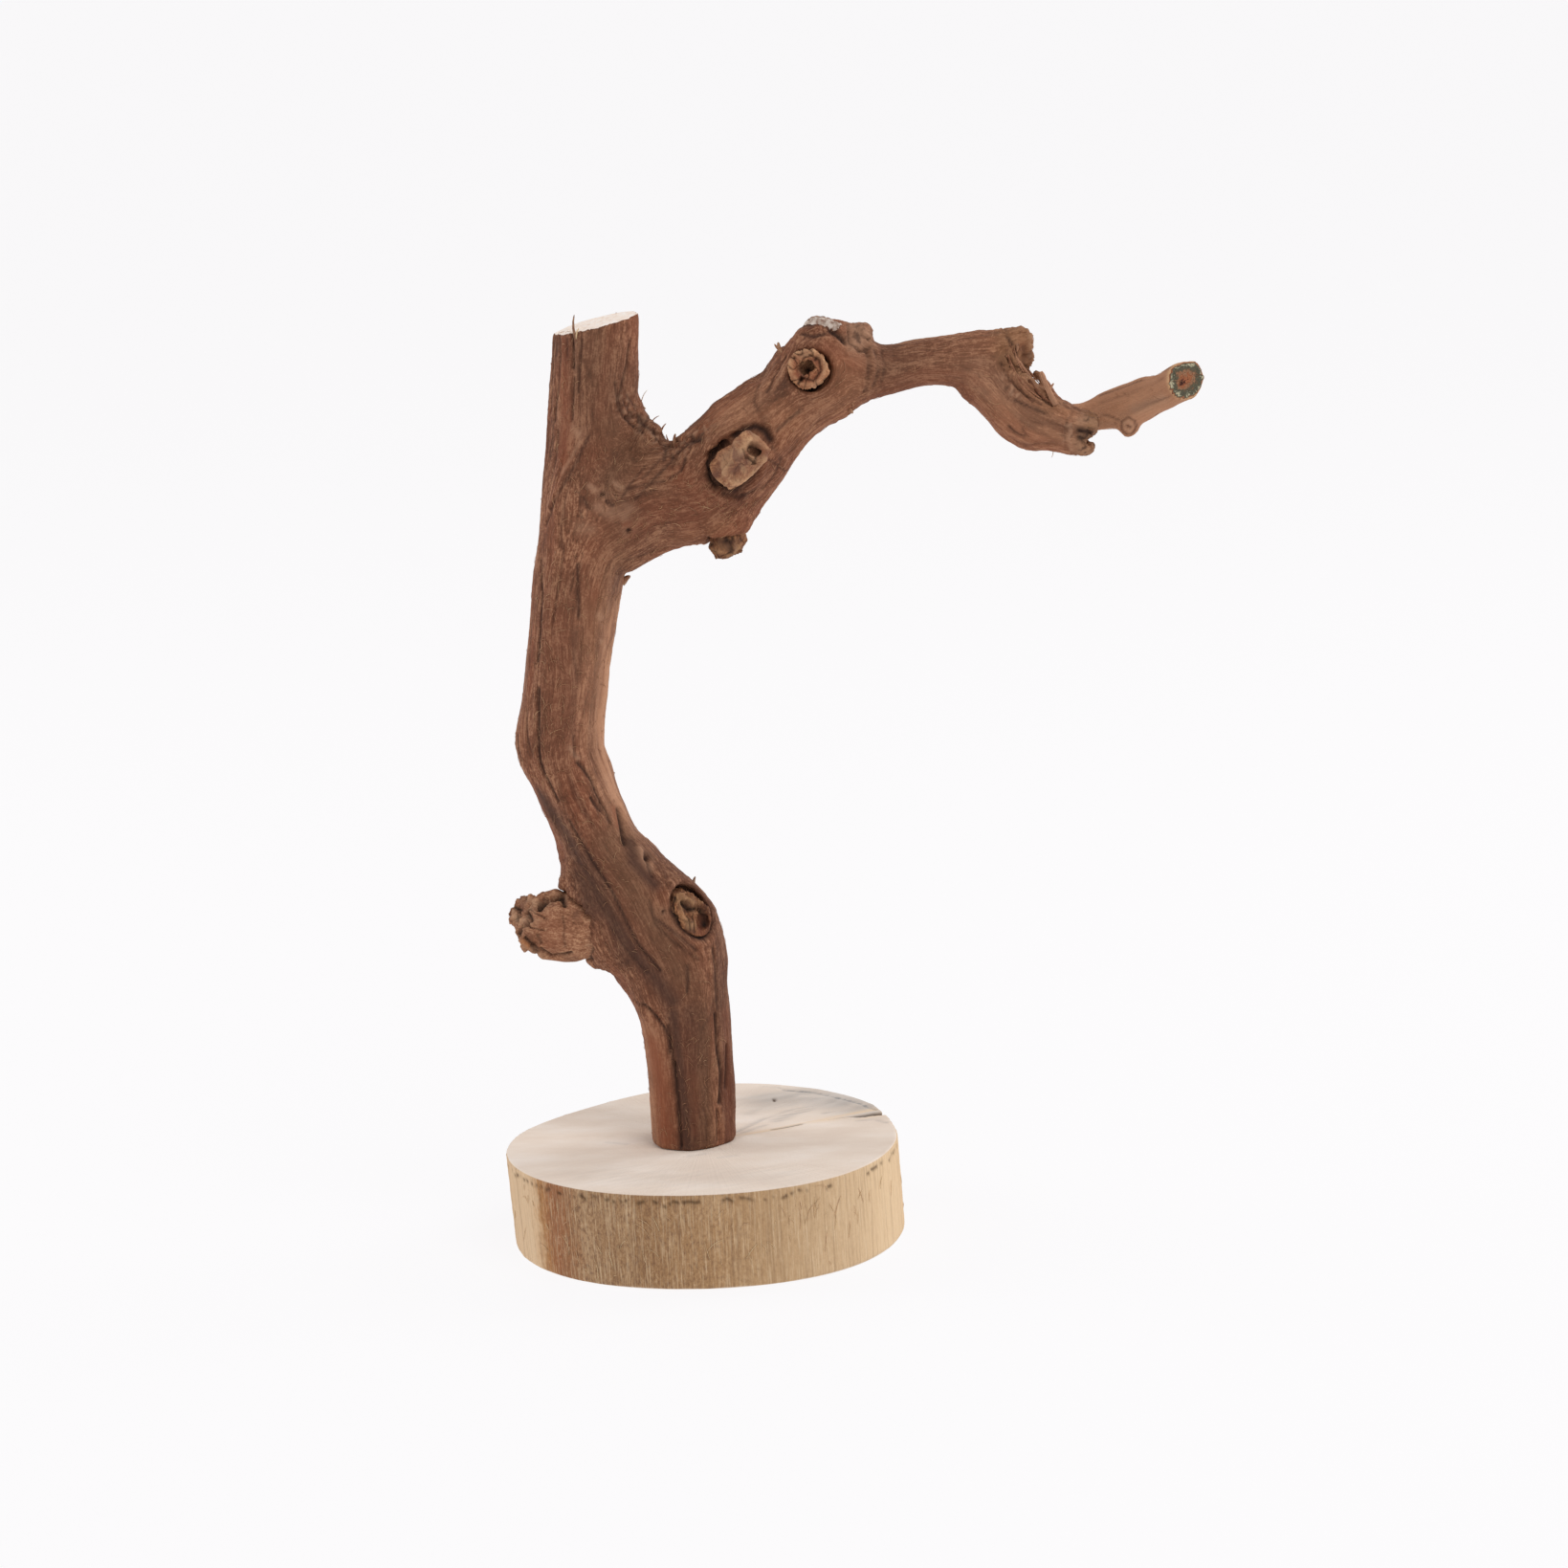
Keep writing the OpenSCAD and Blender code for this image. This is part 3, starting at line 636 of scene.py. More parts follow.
# %% Marks of the top and the fork
marks = rows_of("""
split .3 -.5 .8 598,350 599,366 599,385
split .28 -.4 .6 600,395 599,420 598,440
split .28 -.4 .6 607,354 606,380 604,410
split .28 -.4 .7 585,354 585,375 583,410 580,440
split .28 -.3 .6 579,356 578,400 576,430
rubbed .3 .2 .5 603,354 602,400 600,436
split .3 -.3 .6 592,354 592,372
red 1.8 0 .8 590,356 588,400 592,440 588,480
red 1.4 0 .6 574,430 570,480 566,520
split .35 -.5 .7 574,440 571,480 567,520
split .3 -.4 .6 583,450 580,480 573,515
ridge .9 .6 0 621,438 611,462 600,484 591,500 575,530
rubbed .45 0 .6 613,446 606,462 596,480 588,494
rubbed .7 .2 .8 600,447 604,455 611,448
split .4 -.5 .6 615,456 602,484 592,502 578,528 570,548
olive 6 0 .8 640,450 655,480 640,500
olive 5 0 .7 670,470 690,500
olive 4 0 .6 625,350 620,400
olive 6 0 .6 650,540 640,590
pale 1.2 0 .45 642,532 652,540 658,532
pale 1.4 0 .35 606,552 618,554
split .35 -.4 .6 651,418 656,428 662,436
split .35 -.4 .6 656,414 662,424 668,434
split .3 -.3 .4 711,468 707,478 702,490
split .7 -.6 .9 721,460 731,459
split .3 -.3 .5 656,512 674,506 694,503
split .3 -.25 .45 664,520 684,512
red 3.5 0 .6 712,500 735,520 720,545
fresh 3 0 .4 700,570 730,556 752,552
red 1.2 0 .8 655,549 661,552 660,558
split .4 -.6 .6 659,356 656,380 651,400 647,420 652,436
split .4 -.5 .6 643,400 648,430
split .5 -.6 .8 655,437 668,435 673,445 686,452 700,466
split .45 -.6 .8 683,453 695,465 703,478
split .4 -.5 .7 694,468 704,462 716,463 734,453
split .45 -.5 .7 728,460 714,467 707,474
split .35 -.35 .6 702,482 684,500 664,522
split .3 -.3 .5 673,488 658,507 650,520
split .3 -.3 .45 690,480 672,500""")
print(len(marks), "marks on the top and the fork")

# %% Marks of the stem
# The fresh rows at 636,650 and 640,820 paint the stem's right edge lighter too: painted rim light.
marks += rows_of("""
split .4 -.5 .75 604,590 604,615 605,645
band 3 -.1 .35 586,680 588,720 590,785
red 4 0 .4 586,640 588,720 590,785
band 1.2 0 .5 601,660 600,700 598,770
split .4 -.6 .9 565,586 566,620 564,660 561,692
split .4 -.6 .9 563,720 562,760 563,792 569,810 583,838
split .3 -.3 .5 557,600 555,660 553,700
split .35 -.4 .8 541,768 541,780 545,795
split .3 -.3 .6 550,740 551,770 556,790
red 1 0 .7 558,600 557,660 553,720
olive 3 0 .5 620,640 615,680
fresh 3.2 0 .7 636,650 630,700 627,760 632,800
fresh 3 0 .5 640,820 650,850
pale .8 0 .5 626,643 628,646
pale .5 0 .6 628,670 629,671
pale .5 0 .6 632,676 633,677
split .35 -.4 .6 600,770 601,790
pale .5 .15 .7 596,782 604,793
split .4 -.6 .85 604,797 611,805 618,815 623,828 628,838
ridge 1.1 .4 0 608,793 617,805 625,820
split .4 -.6 .85 618,834 623,842 628,848
split .35 -.5 .7 628,840 634,850 638,860
band 2.6 -.35 1 566,835 590,872 608,905 625,938 643,967 663,997 687,1027 702,1047
band 2.4 -.1 .9 604,915 618,940 632,955
band 2 0 .8 690,1030 700,1050 708,1075
split .4 -.5 .85 594,858 618,900 640,933 655,965 668,990 690,1015
split .3 -.3 .6 640,972 656,996 676,1018
split .5 -.9 .9 646,846 650,866 653,882
red .9 0 .7 642,845 646,862
ridge 1.2 .45 0 648,840 657,866 668,892
band 1.8 -.35 1 658,880 663,900 673,913 684,924
pale .8 .3 .6 668,888 672,898 680,908
split .35 -.4 .7 673,892 677,905 682,916
ridge 1 .35 0 682,938 686,962 708,982 733,998
split .4 -.4 .5 679,942 684,965 706,986 730,1003
split .35 -.5 .6 698,1072 701,1095 704,1115
split .5 -.9 .95 704,1112 708,1150 711,1200
band 1.8 -.1 1 704,1060 710,1110 716,1160 719,1198
ridge 1 .5 0 663,1053 672,1058 681,1070 689,1082 694,1098
split .35 -.6 .9 663,1046 675,1051 685,1062 694,1074 699,1086 700,1100
fresh 3 0 .6 682,1088 688,1130 694,1190
olive 2.6 0 .9 735,1060 738,1110 738,1160 738,1196
fresh 1.2 0 .6 727,1128 724,1152
fresh 2.4 0 .6 667,1062 678,1080
split .35 -.5 .8 718,1010 719,1025 718,1038
split .4 -.4 .7 685,960 702,972 718,985 727,993
split .5 -.9 .95 749,1060 750,1090 754,1120 753,1153
split .35 -.4 .7 745,992 748,1013 750,1055
split .35 -.4 .7 750,1160 750,1192
split .45 -.7 .9 760,1093 760,1115 759,1137
red 2.6 0 .9 682,1092 690,1130 697,1190
red 1.8 0 .8 760,1060 761,1120 762,1185
red .9 0 .7 724,1120 727,1150 725,1185
split .3 -.3 .6 738,1165 739,1192
red 2.5 0 .3 640,540 700,530 760,525""")
print(len(marks), "marks down to the foot")

# %% Marks of the arm and the twig
# Among the rows below, the first three cut the gap round the front stub, and the split rows at 1129,450 and
# 1129,458 cut the notch in the torn tip: all are painted nearly black as shade.
marks += rows_of("""
split .9 -1.3 1 757,463 748,472 742,484 741,497 748,508
split .9 -1.2 1 768,457 778,449 789,446 800,451 805,460
split .5 -.5 .8 756,516 772,520 790,512
split .4 -.4 .6 807,467 817,482 808,500 797,512
split .4 -.4 .45 793,403 788,420 793,430
ridge 1.6 .5 0 822,366 808,388 797,406 794,420 800,428
smooth 4 0 .5 820,385 812,405
rubbed .5 0 .6 818,368 805,390 795,408 796,422
rubbed .4 .2 .5 826,378 814,396 806,412
split .3 -.4 .6 823,372 810,392 802,410
split .4 -.4 .6 845,405 835,430 812,450
split .45 -.5 .6 905,364 908,385 904,410
split .4 -.45 .6 914,366 918,388 913,404
split .35 -.4 .5 922,368 925,386 921,400
ridge .9 .4 0 910,366 913,386 909,406
split .4 -.5 .85 1050,344 1053,352 1058,360
split .3 -.7 .6 1062,366 1064,378 1070,388
split .3 -.9 .6 1052,372 1060,386 1072,400 1086,414 1100,424
split .3 -.7 .6 1046,380 1056,396 1068,408 1080,420
ridge .7 .8 0 1056,368 1066,384 1078,398 1092,412
split .3 -.5 .6 1062,402 1072,412 1088,422
ridge .6 .6 0 1050,376 1062,392 1074,404
pale .4 .5 .9 1076,351 1080,362 1077,374
red 1.2 -.7 1 1070,361 1072,373
split .7 -.4 .5 1070,363 1071,373
split .3 -.4 .7 1060,418 1076,425 1092,432
split .35 -.4 .7 1054,446 1060,452 1070,457
pale 1.3 .3 .75 1130,441 1138,439 1144,443
pale 1.3 .3 .7 1127,466 1134,471 1142,467
pale .5 .35 .7 1119,446 1117,458 1120,470
split .8 -1.2 1 1129,450 1137,451 1145,454
split .7 -1 1 1129,458 1134,461
split .3 -.3 .4 1121,430 1115,442 1112,456 1115,470
split .35 -.35 .5 1068,448 1072,456
pale 1.2 0 .8 1186,428 1200,423 1216,417
split .28 -.3 .7 1112,421 1135,418 1150,413 1190,398 1225,383
fresh 1.6 0 .7 1115,430 1135,432 1158,438
split .4 -.4 .5 1108,421 1116,426 1128,428
ridge 1.3 .5 0 1180,445
split .3 -.35 .6 1172,441 1179,436 1186,440 1188,447 1184,453 1177,454 1172,449 1172,441
pale .35 .2 .9 1175,442 1180,440 1184,445 1181,450 1176,448 1175,442
split .28 -.5 .8 1178,444 1181,446
split .7 -1.1 1 868,345 876,350 884,357
split .4 -.7 .55 885,338 887,348 889,359 899,366 908,364
split .4 -.5 .8 838,349 850,352 862,349
band 1.4 0 .9 838,343 848,340
pale 2.4 .2 .9 893,344 905,350 894,357
split .3 -.5 .45 897,340 900,350 908,355
red 2.5 0 .6 868,365 884,372 896,378
split .3 -.3 .6 803,480 812,486 820,492
rubbed .7 .3 .7 1184,432 1194,428 1204,426
split .3 -.2 .3 1150,421 1180,411 1215,396
split .3 -.3 .5 1150,433 1162,436 1170,440
split .35 -.5 .8 655,438 662,446 672,452
rubbed .5 .3 .6 660,432 668,441
rubbed .5 .3 .6 676,448 686,458
split .4 -.6 .8 690,462 696,470 694,480
rubbed .4 .2 .6 712,474 707,486
split .3 -.4 .7 716,480 712,492 700,500
pale 1.2 0 .5 625,530 640,538
pale .6 .1 .7 616,508 622,512
pale .5 .1 .7 642,505 650,510
split .35 -.4 .8 634,524 640,528
red .8 0 .7 668,548 676,552
split .3 -.3 .6 610,520 616,532
pale 1 0 .3 652,528 662,533""")
print(len(marks), "marks in all")

# %% [markdown]
# Every row becomes a field on the skin, 1 on its line and fading to the sides. It changes the height of the
# skin there, and it deepens the tint of its kind.


# %% Cut the marks
def on_branch(line, width):
    return line_field(points, aim(line, skin_tree), width)


def deepen(kind, values):
    tints[kind] = np.maximum(tints[kind], values)


for kind, width, depth, strength, line in zones + marks:
    field = on_branch(line, width)
    height = height * (1 - strength * field) if kind == "smooth" else height + depth * field
    if kind in tints:
        deepen(kind, strength * field)
print("height with the marks, mm:", round(height.min(), 2), round(height.max(), 2))

# %% [markdown]
# Weathering is never even. Slow noise along the limbs turns parts of the skin browner and others redder,
# and the rubbed tint, worn skin and painted rim light alike, breaks up into streaks. Where the bark
# tore, the wood is crumbly, and a few small pits were left by buds; the pits are painted dark as shade.

# %% Patches, crumbs and pits
# A crumbly place is a width in mm and a line, and a bud's pit is a picture point and a radius in mm.
crumbly = rows_of("""
2.6 652,420 666,438 684,452 702,468 716,463 734,448
3 896,345 906,350 893,358
1.4 1117,445 1117,459 1121,474
1.4 1052,396 1061,412""")
bud_pits = ((630, 517, .5), (657, 555, .6), (676, 897, .8), (693, 953, .35))
deepen("rubbed", twig_share * (0.85 + 0.3 * noise(place * (0.7, 0.7, 0.06), 37)))
patches = noise(place * (0.085, 0.085, 0.011), 44) + 0.4 * noise(place * (0.3, 0.3, 0.03), 45)
streaks = 0.85 + 0.35 * twig_share + (1 - 0.6 * twig_share) * noise(place * (0.7, 0.7, 0.07), 35)
tints["rubbed"] *= np.clip(streaks + 0.6 * noise(place * (1.6, 1.6, 0.12), 36), 0.25, 1)
bare = np.maximum(twig_share, tints["rubbed"])
deepen("band", np.clip(patches * 1.6 - 0.1, 0, 0.5) * (1 - 0.85 * bare))
deepen("red", np.clip(-patches * 1.6 - 0.1, 0, 0.5) * (1 - np.maximum(tints["olive"], 0.6 * twig_share)))
rough = np.clip(sum(on_branch(line, width) for width, line in crumbly), 0, 1)
height += rough * (0.55 * noise(points * 0.9, 46) + 0.3 * noise(points * 1.6, 47))
crumbs = np.clip(noise(points * 0.9, 48) * 4 - 0.8, 0, 1) * rough
deepen("split", crumbs * 0.7)
deepen("pale", np.clip(noise(points * 1.1, 49) * 4 - 0.2, 0, 1) * rough * 0.85)
for px, py, radius in bud_pits:
    field = on_branch([(px, py)], radius)
    ring = on_branch([(px, py)], radius * 2.2) - field
    height += ring * 0.35 - field * 0.9
    # The pit is painted dark: painted shade inside it.
    deepen("split", field)
    deepen("pale", ring * 0.4)
# The fine splits are painted darker: painted shade in their grooves.
deepen("split", splits * 0.4)
print("crumbly points:", int((rough > 0.5).sum()))

# %% [markdown]
# Round each dead knot the living wood has rolled up into a collar, with a gap inside it that is painted
# dark as shade, and fine wrinkles outside.

# %% Collars round the knots
# The gap's width and depth, and the collar's height, in mm.
collar_facts = {"front_stub": (1.0, 1.2, .6), "eye_knot": (.25, .3, .3), "oval_knot": (.6, .8, .4),
                "arm_nub": (.25, .1, .1), "broken_stub": (.25, .3, 2.6)}
# Pixels right and down, as the knots are pulled below, and their growth in mm.
knot_shift = {"front_stub": (10, 8, 0), "eye_knot": (-5, -3, .2), "oval_knot": (-1, 8, .6)}
no_shift = (0, 0, 0)
stub_way = unit([-.99, -.12, .06])
for name, (wide, deep, roll_up) in collar_facts.items():
    knot_tree = tree_of(frame["nodes"][name])
    gap = np.full(len(points), 99.0)
    to_right, down, growth = knot_shift.get(name, no_shift)
    shift = picture_step(to_right, down)
    for i in np.flatnonzero(np.linalg.norm(points - knot_at[name], axis=1) < knots[name] + 9):
        gap[i] = knot_tree.find_nearest((points[i] - shift) / 1000)[3] * 1000 - growth
    gap = np.maximum(gap + 0.35 * noise(points * 0.45, 30), 0)
    crevice = np.exp(-(gap / wide) ** 2)
    broad = 1.5 if roll_up > 1 else 0.8
    collar = np.exp(-((gap - wide - 1.0) / broad) ** 2) * (1 + 0.5 * noise(points * 0.3, 32))
    if name == "broken_stub":                    # this collar swells to the side only
        above_stub = np.clip((points[:, 2] - knot_at[name][2] + 5) / 3, 0, 1)
        collar *= np.clip(normals @ stub_way * 2 - 0.7, 0, 1) * above_stub
    wrinkle = np.sin(gap * 4.2 + 3 * noise(points * 0.25, 31)) * np.exp(-((gap - 3.0) / 1.6) ** 2)
    height += roll_up * collar + 0.12 * wrinkle - deep * crevice
    # The gap is painted dark: painted shade in the crevice.
    deepen("split", (0.6 if name == "broken_stub" else 0.95) * crevice)
print("collars:", ", ".join(collar_facts))

# %% [markdown]
# The broken tip and the split stub at its end are torn, not sawn: the fibres there stand up in ridges and
# the end wood is porous. The stump carries a crust of lichen.

# %% Torn ends and lichen
tear = [(1056, 372), (1075, 395), (1100, 418)]
lichen_line = [(846, 336), (858, 334), (872, 338)]
tip_end = np.clip((places[2][:, 2] - runs["tip"]["run"][-1] + 9) / 5, 0, 1)
torn = np.clip(share["tip"] * tip_end + on_branch(tear, 3.0), 0, 1)
torn *= points[:, 2] > 165
height += torn * (0.45 * (1 - np.abs(noise(place * (0.85, 0.85, 0.07), 41)) * 3) - 0.1)
porous = np.clip(share["arm"] * np.clip((places[0][:, 2] - runs["arm"]["run"][-1] + 8.5) / 3, 0, 1), 0, 1)
height += porous * 0.45 * noise(points * 1.1, 42) + 0.3 * twig_cut * noise(points * 1.2, 54)
deepen("pale", porous * np.clip(noise(points * 1.2, 52) * 3, 0, 0.8))
deepen("split", porous * np.clip(noise(points * 1.3, 53) * 3 - 0.6, 0, 0.8))
lichen_behind = fork + np.array([(54, 0, 45.5), (52, 2, 44)])
lichen = on_branch(lichen_line, 1.5) + 0.8 * line_field(points, lichen_behind, 3)
lichen *= points[:, 2] > 192
crust = noise(points * 0.7, 43)
height += lichen * (0.55 * crust + 0.3 * noise(points * 1.3, 50))
crust_edge = np.exp(-((lichen - 0.35) / 0.12) ** 2) * np.clip(0.6 + noise(points * 0.8, 51) * 2, 0, 1)
deepen("split", 0.8 * crust_edge + 0.9 * (lichen > 0.3) * np.exp(-(crust / 0.05) ** 2))
print("torn points:", int((torn > 0.5).sum()))

# %% [markdown]
# Now every point moves along its normal by the height that all of this adds up to. The sawn top and the
# foot keep the flat of the saw. The tints stay on the points, as values that the materials read.

# %% Move the skin and keep its values
twig_hollow, hollow_radius = (1235, 401), 0.8    # picture point, mm
moved = points + normals * (height * calm * (0.25 + 0.75 * near_top) * (1 - 0.5 * twig_share))[:, None]
move_points(branch, moved)
bpy.ops.object.shade_smooth()
keep_value(branch, "grain", place)
for kind, values in tints.items():
    keep_value(branch, kind, values)
keep_value(branch, "sawn", end_cut.astype(float))
from_middle = np.linalg.norm(points - points[twig_cut].mean(0), axis=1)
twig_radius = from_middle[twig_cut].max()
hollow = on_branch([twig_hollow], hollow_radius)
mouldy = np.clip(from_middle / twig_radius * (1 - hollow), 0.01, 1)
keep_value(branch, "twig_end", np.where(twig_cut, mouldy, 0))
keep_value(branch, "twig_lip", np.exp(-((from_middle - twig_radius) / 0.35) ** 2) * ~twig_cut)
keep_value(branch, "torn", np.clip(torn + porous, 0, 1))
keep_value(branch, "lichen", np.clip(lichen, 0, 1))
print("branch skin moved by", round(np.abs(height * calm).max(), 2), "mm at most")

# %% [markdown]
# The branch wood: a bark-less, air-dried stem, brushed clean. It reads as matt red-brown, with darker band
# tints, pale torn fibres, splits and hairlines painted black as the shade inside them, and a lighter strip of
# painted rim light on the stem's right edge. Noise that is stretched along the limb carries the colour:
# streaks of 2 mm, fibres of 0.7 and 0.3 mm, and short flecks. Finer, unstretched noise adds grit.


# %% Brushed wood
# Streaks per mm and grits per metre, each with its detail, and the weights of the grits and first streaks.
streak_sizes = (((0.5, 0.5, 0.03), 3.0), ((1.5, 1.5, 0.09), 3.0), ((3.6, 3.6, 0.3), 2.0),
                ((2.6, 2.6, 0.7), 1.0))
grit_sizes = ((130.0, 4.0), (1100.0, 2.0), (2600.0, 1.0))
noise_weights = (0.20, 0.12, 0.14, 0.17, 0.22, 0.28)
noise_offset = -0.025


def brushed_wood(name, stops, tone):
    """Each tone is a value that is kept on the points, its colour and its strength."""
    material, tree, shader = new_material(name, Roughness=0.8)
    shader.inputs["Specular IOR Level"].default_value = 0.25
    grain = read(tree, "grain", "Vector")
    spot = put(tree, "TexCoord").outputs["Object"]
    streaks = []
    for stretch, detail in streak_sizes:
        way = put(tree, "Mapping", {"Vector": grain, "Scale": stretch})
        made_of = {"Vector": way, "Scale": 1.0, "Detail": detail, "Roughness": 0.6}
        streaks.append(put(tree, "TexNoise", made_of))
    grits = [put(tree, "TexNoise", {"Vector": spot, "Scale": scale, "Detail": detail})
             for scale, detail in grit_sizes]
    total = noise_offset
    for layer, weight in zip(grits + streaks, noise_weights):
        total = put(tree, "Math", {0: layer, 1: weight, 2: total}, operation="MULTIPLY_ADD")
    colour = put(tree, "ValToRGB", {"Fac": total}, stops=stops)
    fleck = put(tree, "MapRange", {"Value": streaks[3], "From Min": 0.63, "From Max": 0.70})
    # Thin hairlines along the grain are painted dark: painted shade in fine cracks.
    long_way = put(tree, "Mapping", {"Vector": grain, "Scale": (0.75, 0.75, 0.035)})
    line = put(tree, "TexNoise", {"Vector": long_way, "Scale": 1.0, "Detail": 1.5})
    off_line = put(tree, "Math", {0: line, 1: 0.5}, operation="SUBTRACT")
    off_line = put(tree, "Math", {0: off_line}, operation="ABSOLUTE")
    thin = put(tree, "MapRange", {"Value": off_line, "From Max": 0.014, "To Min": 1.0, "To Max": 0.0})
    where = put(tree, "MapRange", {"Value": grits[0], "From Min": 0.46, "From Max": 0.58})
    hairline = put(tree, "Math", {0: thin, 1: where}, operation="MULTIPLY")
    strengths = [(fleck, "#B58868", 0.4), (hairline, "#3E261C", 0.5)]
    strengths += [(read(tree, kind), code, amount) for kind, code, amount in tone]
    for strength, code, amount in strengths:
        factor = put(tree, "Math", {0: strength, 1: amount}, operation="MULTIPLY", use_clamp=True)
        colour = put(tree, "Mix", {"Factor": factor, 6: colour, 7: code}, data_type="RGBA")
    tree.links.new(colour.outputs[2], shader.inputs["Base Color"])
    relief = put(tree, "Math", {0: streaks[2], 1: 0.6, 2: streaks[1]}, operation="MULTIPLY_ADD")
    bump = put(tree, "Bump", {"Height": relief, "Strength": 0.75, "Distance": 0.0005})
    tree.links.new(bump.outputs[0], shader.inputs["Normal"])
    return material


branch_wood = brushed_wood(
    "air_dried_branch_wood", [(0.39, "#43291C"), (0.475, "#69412C"), (0.535, "#80513A"), (0.61, "#B28061")],
    [("rubbed", "#C89878", .85), ("olive", "#684934", .7), ("fresh", "#A56F4E", .65), ("red", "#8A4A30", .7),
     ("band", "#4B3228", .85), ("pale", "#B48A6E", .8), ("torn", "#8F6A48", .35), ("split", "#33201A", 1.0),
     ("twig_lip", "#D0A67C", .8)])
print("branch wood has", len(branch_wood.node_tree.nodes), "nodes")

# %% [markdown]
# Three places are not brushed wood: the pale sawn top with its fine saw lines, the twig's end with a ring
# of grey mould round a brown, crumbled middle, and the crust of lichen on the stump. Each is laid over the
# wood where its value is above nothing.

# %% Sawn top, twig's end and lichen
tree, shader = branch_wood.node_tree, branch_wood.node_tree.nodes["Principled BSDF"]
on_wood = put(tree, "TexCoord").outputs["Object"]
saw_way = put(tree, "Mapping", {"Vector": on_wood, "Scale": (900, 300, 300), "Rotation": (0, 0, 0.5)})
saw_grain = put(tree, "TexNoise", {"Vector": saw_way, "Scale": 1.0, "Detail": 3.0})
sawn_face = put(tree, "ValToRGB", {"Fac": saw_grain}, stops=[
    (0.3, "#F4E0CE"), (0.5, "#FFEFE2"), (0.7, "#FFF7EF")])
blot = put(tree, "TexNoise", {"Vector": on_wood, "Scale": 480.0, "Detail": 1.0})
speck = put(tree, "TexNoise", {"Vector": on_wood, "Scale": 2300.0, "Detail": 4.0, "Roughness": 0.7})
ragged = read(tree, "twig_end")
for pattern, weight in ((blot, 0.9), (speck, 1.25)):
    centred = put(tree, "Math", {0: pattern, 1: 0.5}, operation="SUBTRACT")
    ragged = put(tree, "Math", {0: centred, 1: weight, 2: ragged}, operation="MULTIPLY_ADD")
rings = put(tree, "ValToRGB", {"Fac": ragged}, stops=[
    (0.0, "#3E2018"), (0.10, "#8A4E36"), (0.20, "#B0704A"), (0.30, "#6E3E2A"), (0.40, "#A98060"),
    (0.47, "#8A5A40"), (0.55, "#6E5C46"), (0.63, "#4A4438"), (0.72, "#6C6750"), (0.80, "#37332D"),
    (0.88, "#5F5C4C"), (0.95, "#8C8870"), (1.0, "#B8AE90")])
grains = put(tree, "TexNoise", {"Vector": on_wood, "Scale": 900.0, "Detail": 4.0})
crusty = put(tree, "ValToRGB", {"Fac": grains}, stops=[
    (0.34, "#86695A"), (0.45, "#AE9788"), (0.55, "#C8B7AA"), (0.68, "#DACBBF")])
centred = put(tree, "Math", {0: grains, 1: 0.5}, operation="SUBTRACT")
crust_share = put(tree, "Math", {0: read(tree, "lichen"), 1: 0.42}, operation="SUBTRACT")
crust_share = put(tree, "Math", {0: centred, 1: 0.8, 2: crust_share}, operation="MULTIPLY_ADD")
colour = shader.inputs["Base Color"].links[0].from_socket
for paint, where in ((crusty, crust_share), (rings, read(tree, "twig_end")), (sawn_face, read(tree, "sawn"))):
    here = put(tree, "Math", {0: where, 1: 0.005}, operation="GREATER_THAN")
    colour = put(tree, "Mix", {"Factor": here, 6: colour, 7: paint}, data_type="RGBA")
tree.links.new(colour.outputs[2], shader.inputs["Base Color"])
branch.data.materials.append(branch_wood)
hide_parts("branch")
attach(branch, "root")
print("branch wood now has", len(tree.nodes), "nodes")

# %% [markdown]
# The five dead knots are harder, greyer wood that broke or rotted off. Each one is a copy of its CAD solid
# under a net of about 0.2 mm, worn down by noise: crumbly where it broke, ringed where it was once a round
# twig.


# %% How a dead knot is made
root_of = {"front_stub": fork + (27, 0, 12), "eye_knot": fork + (50, 3, 33), "oval_knot": (-3.4, 1, 62),
           "arm_nub": fork + (25, 0, 8), "broken_stub": (-4, 1.5, 64)}
most_raised = 0.7                                # mm


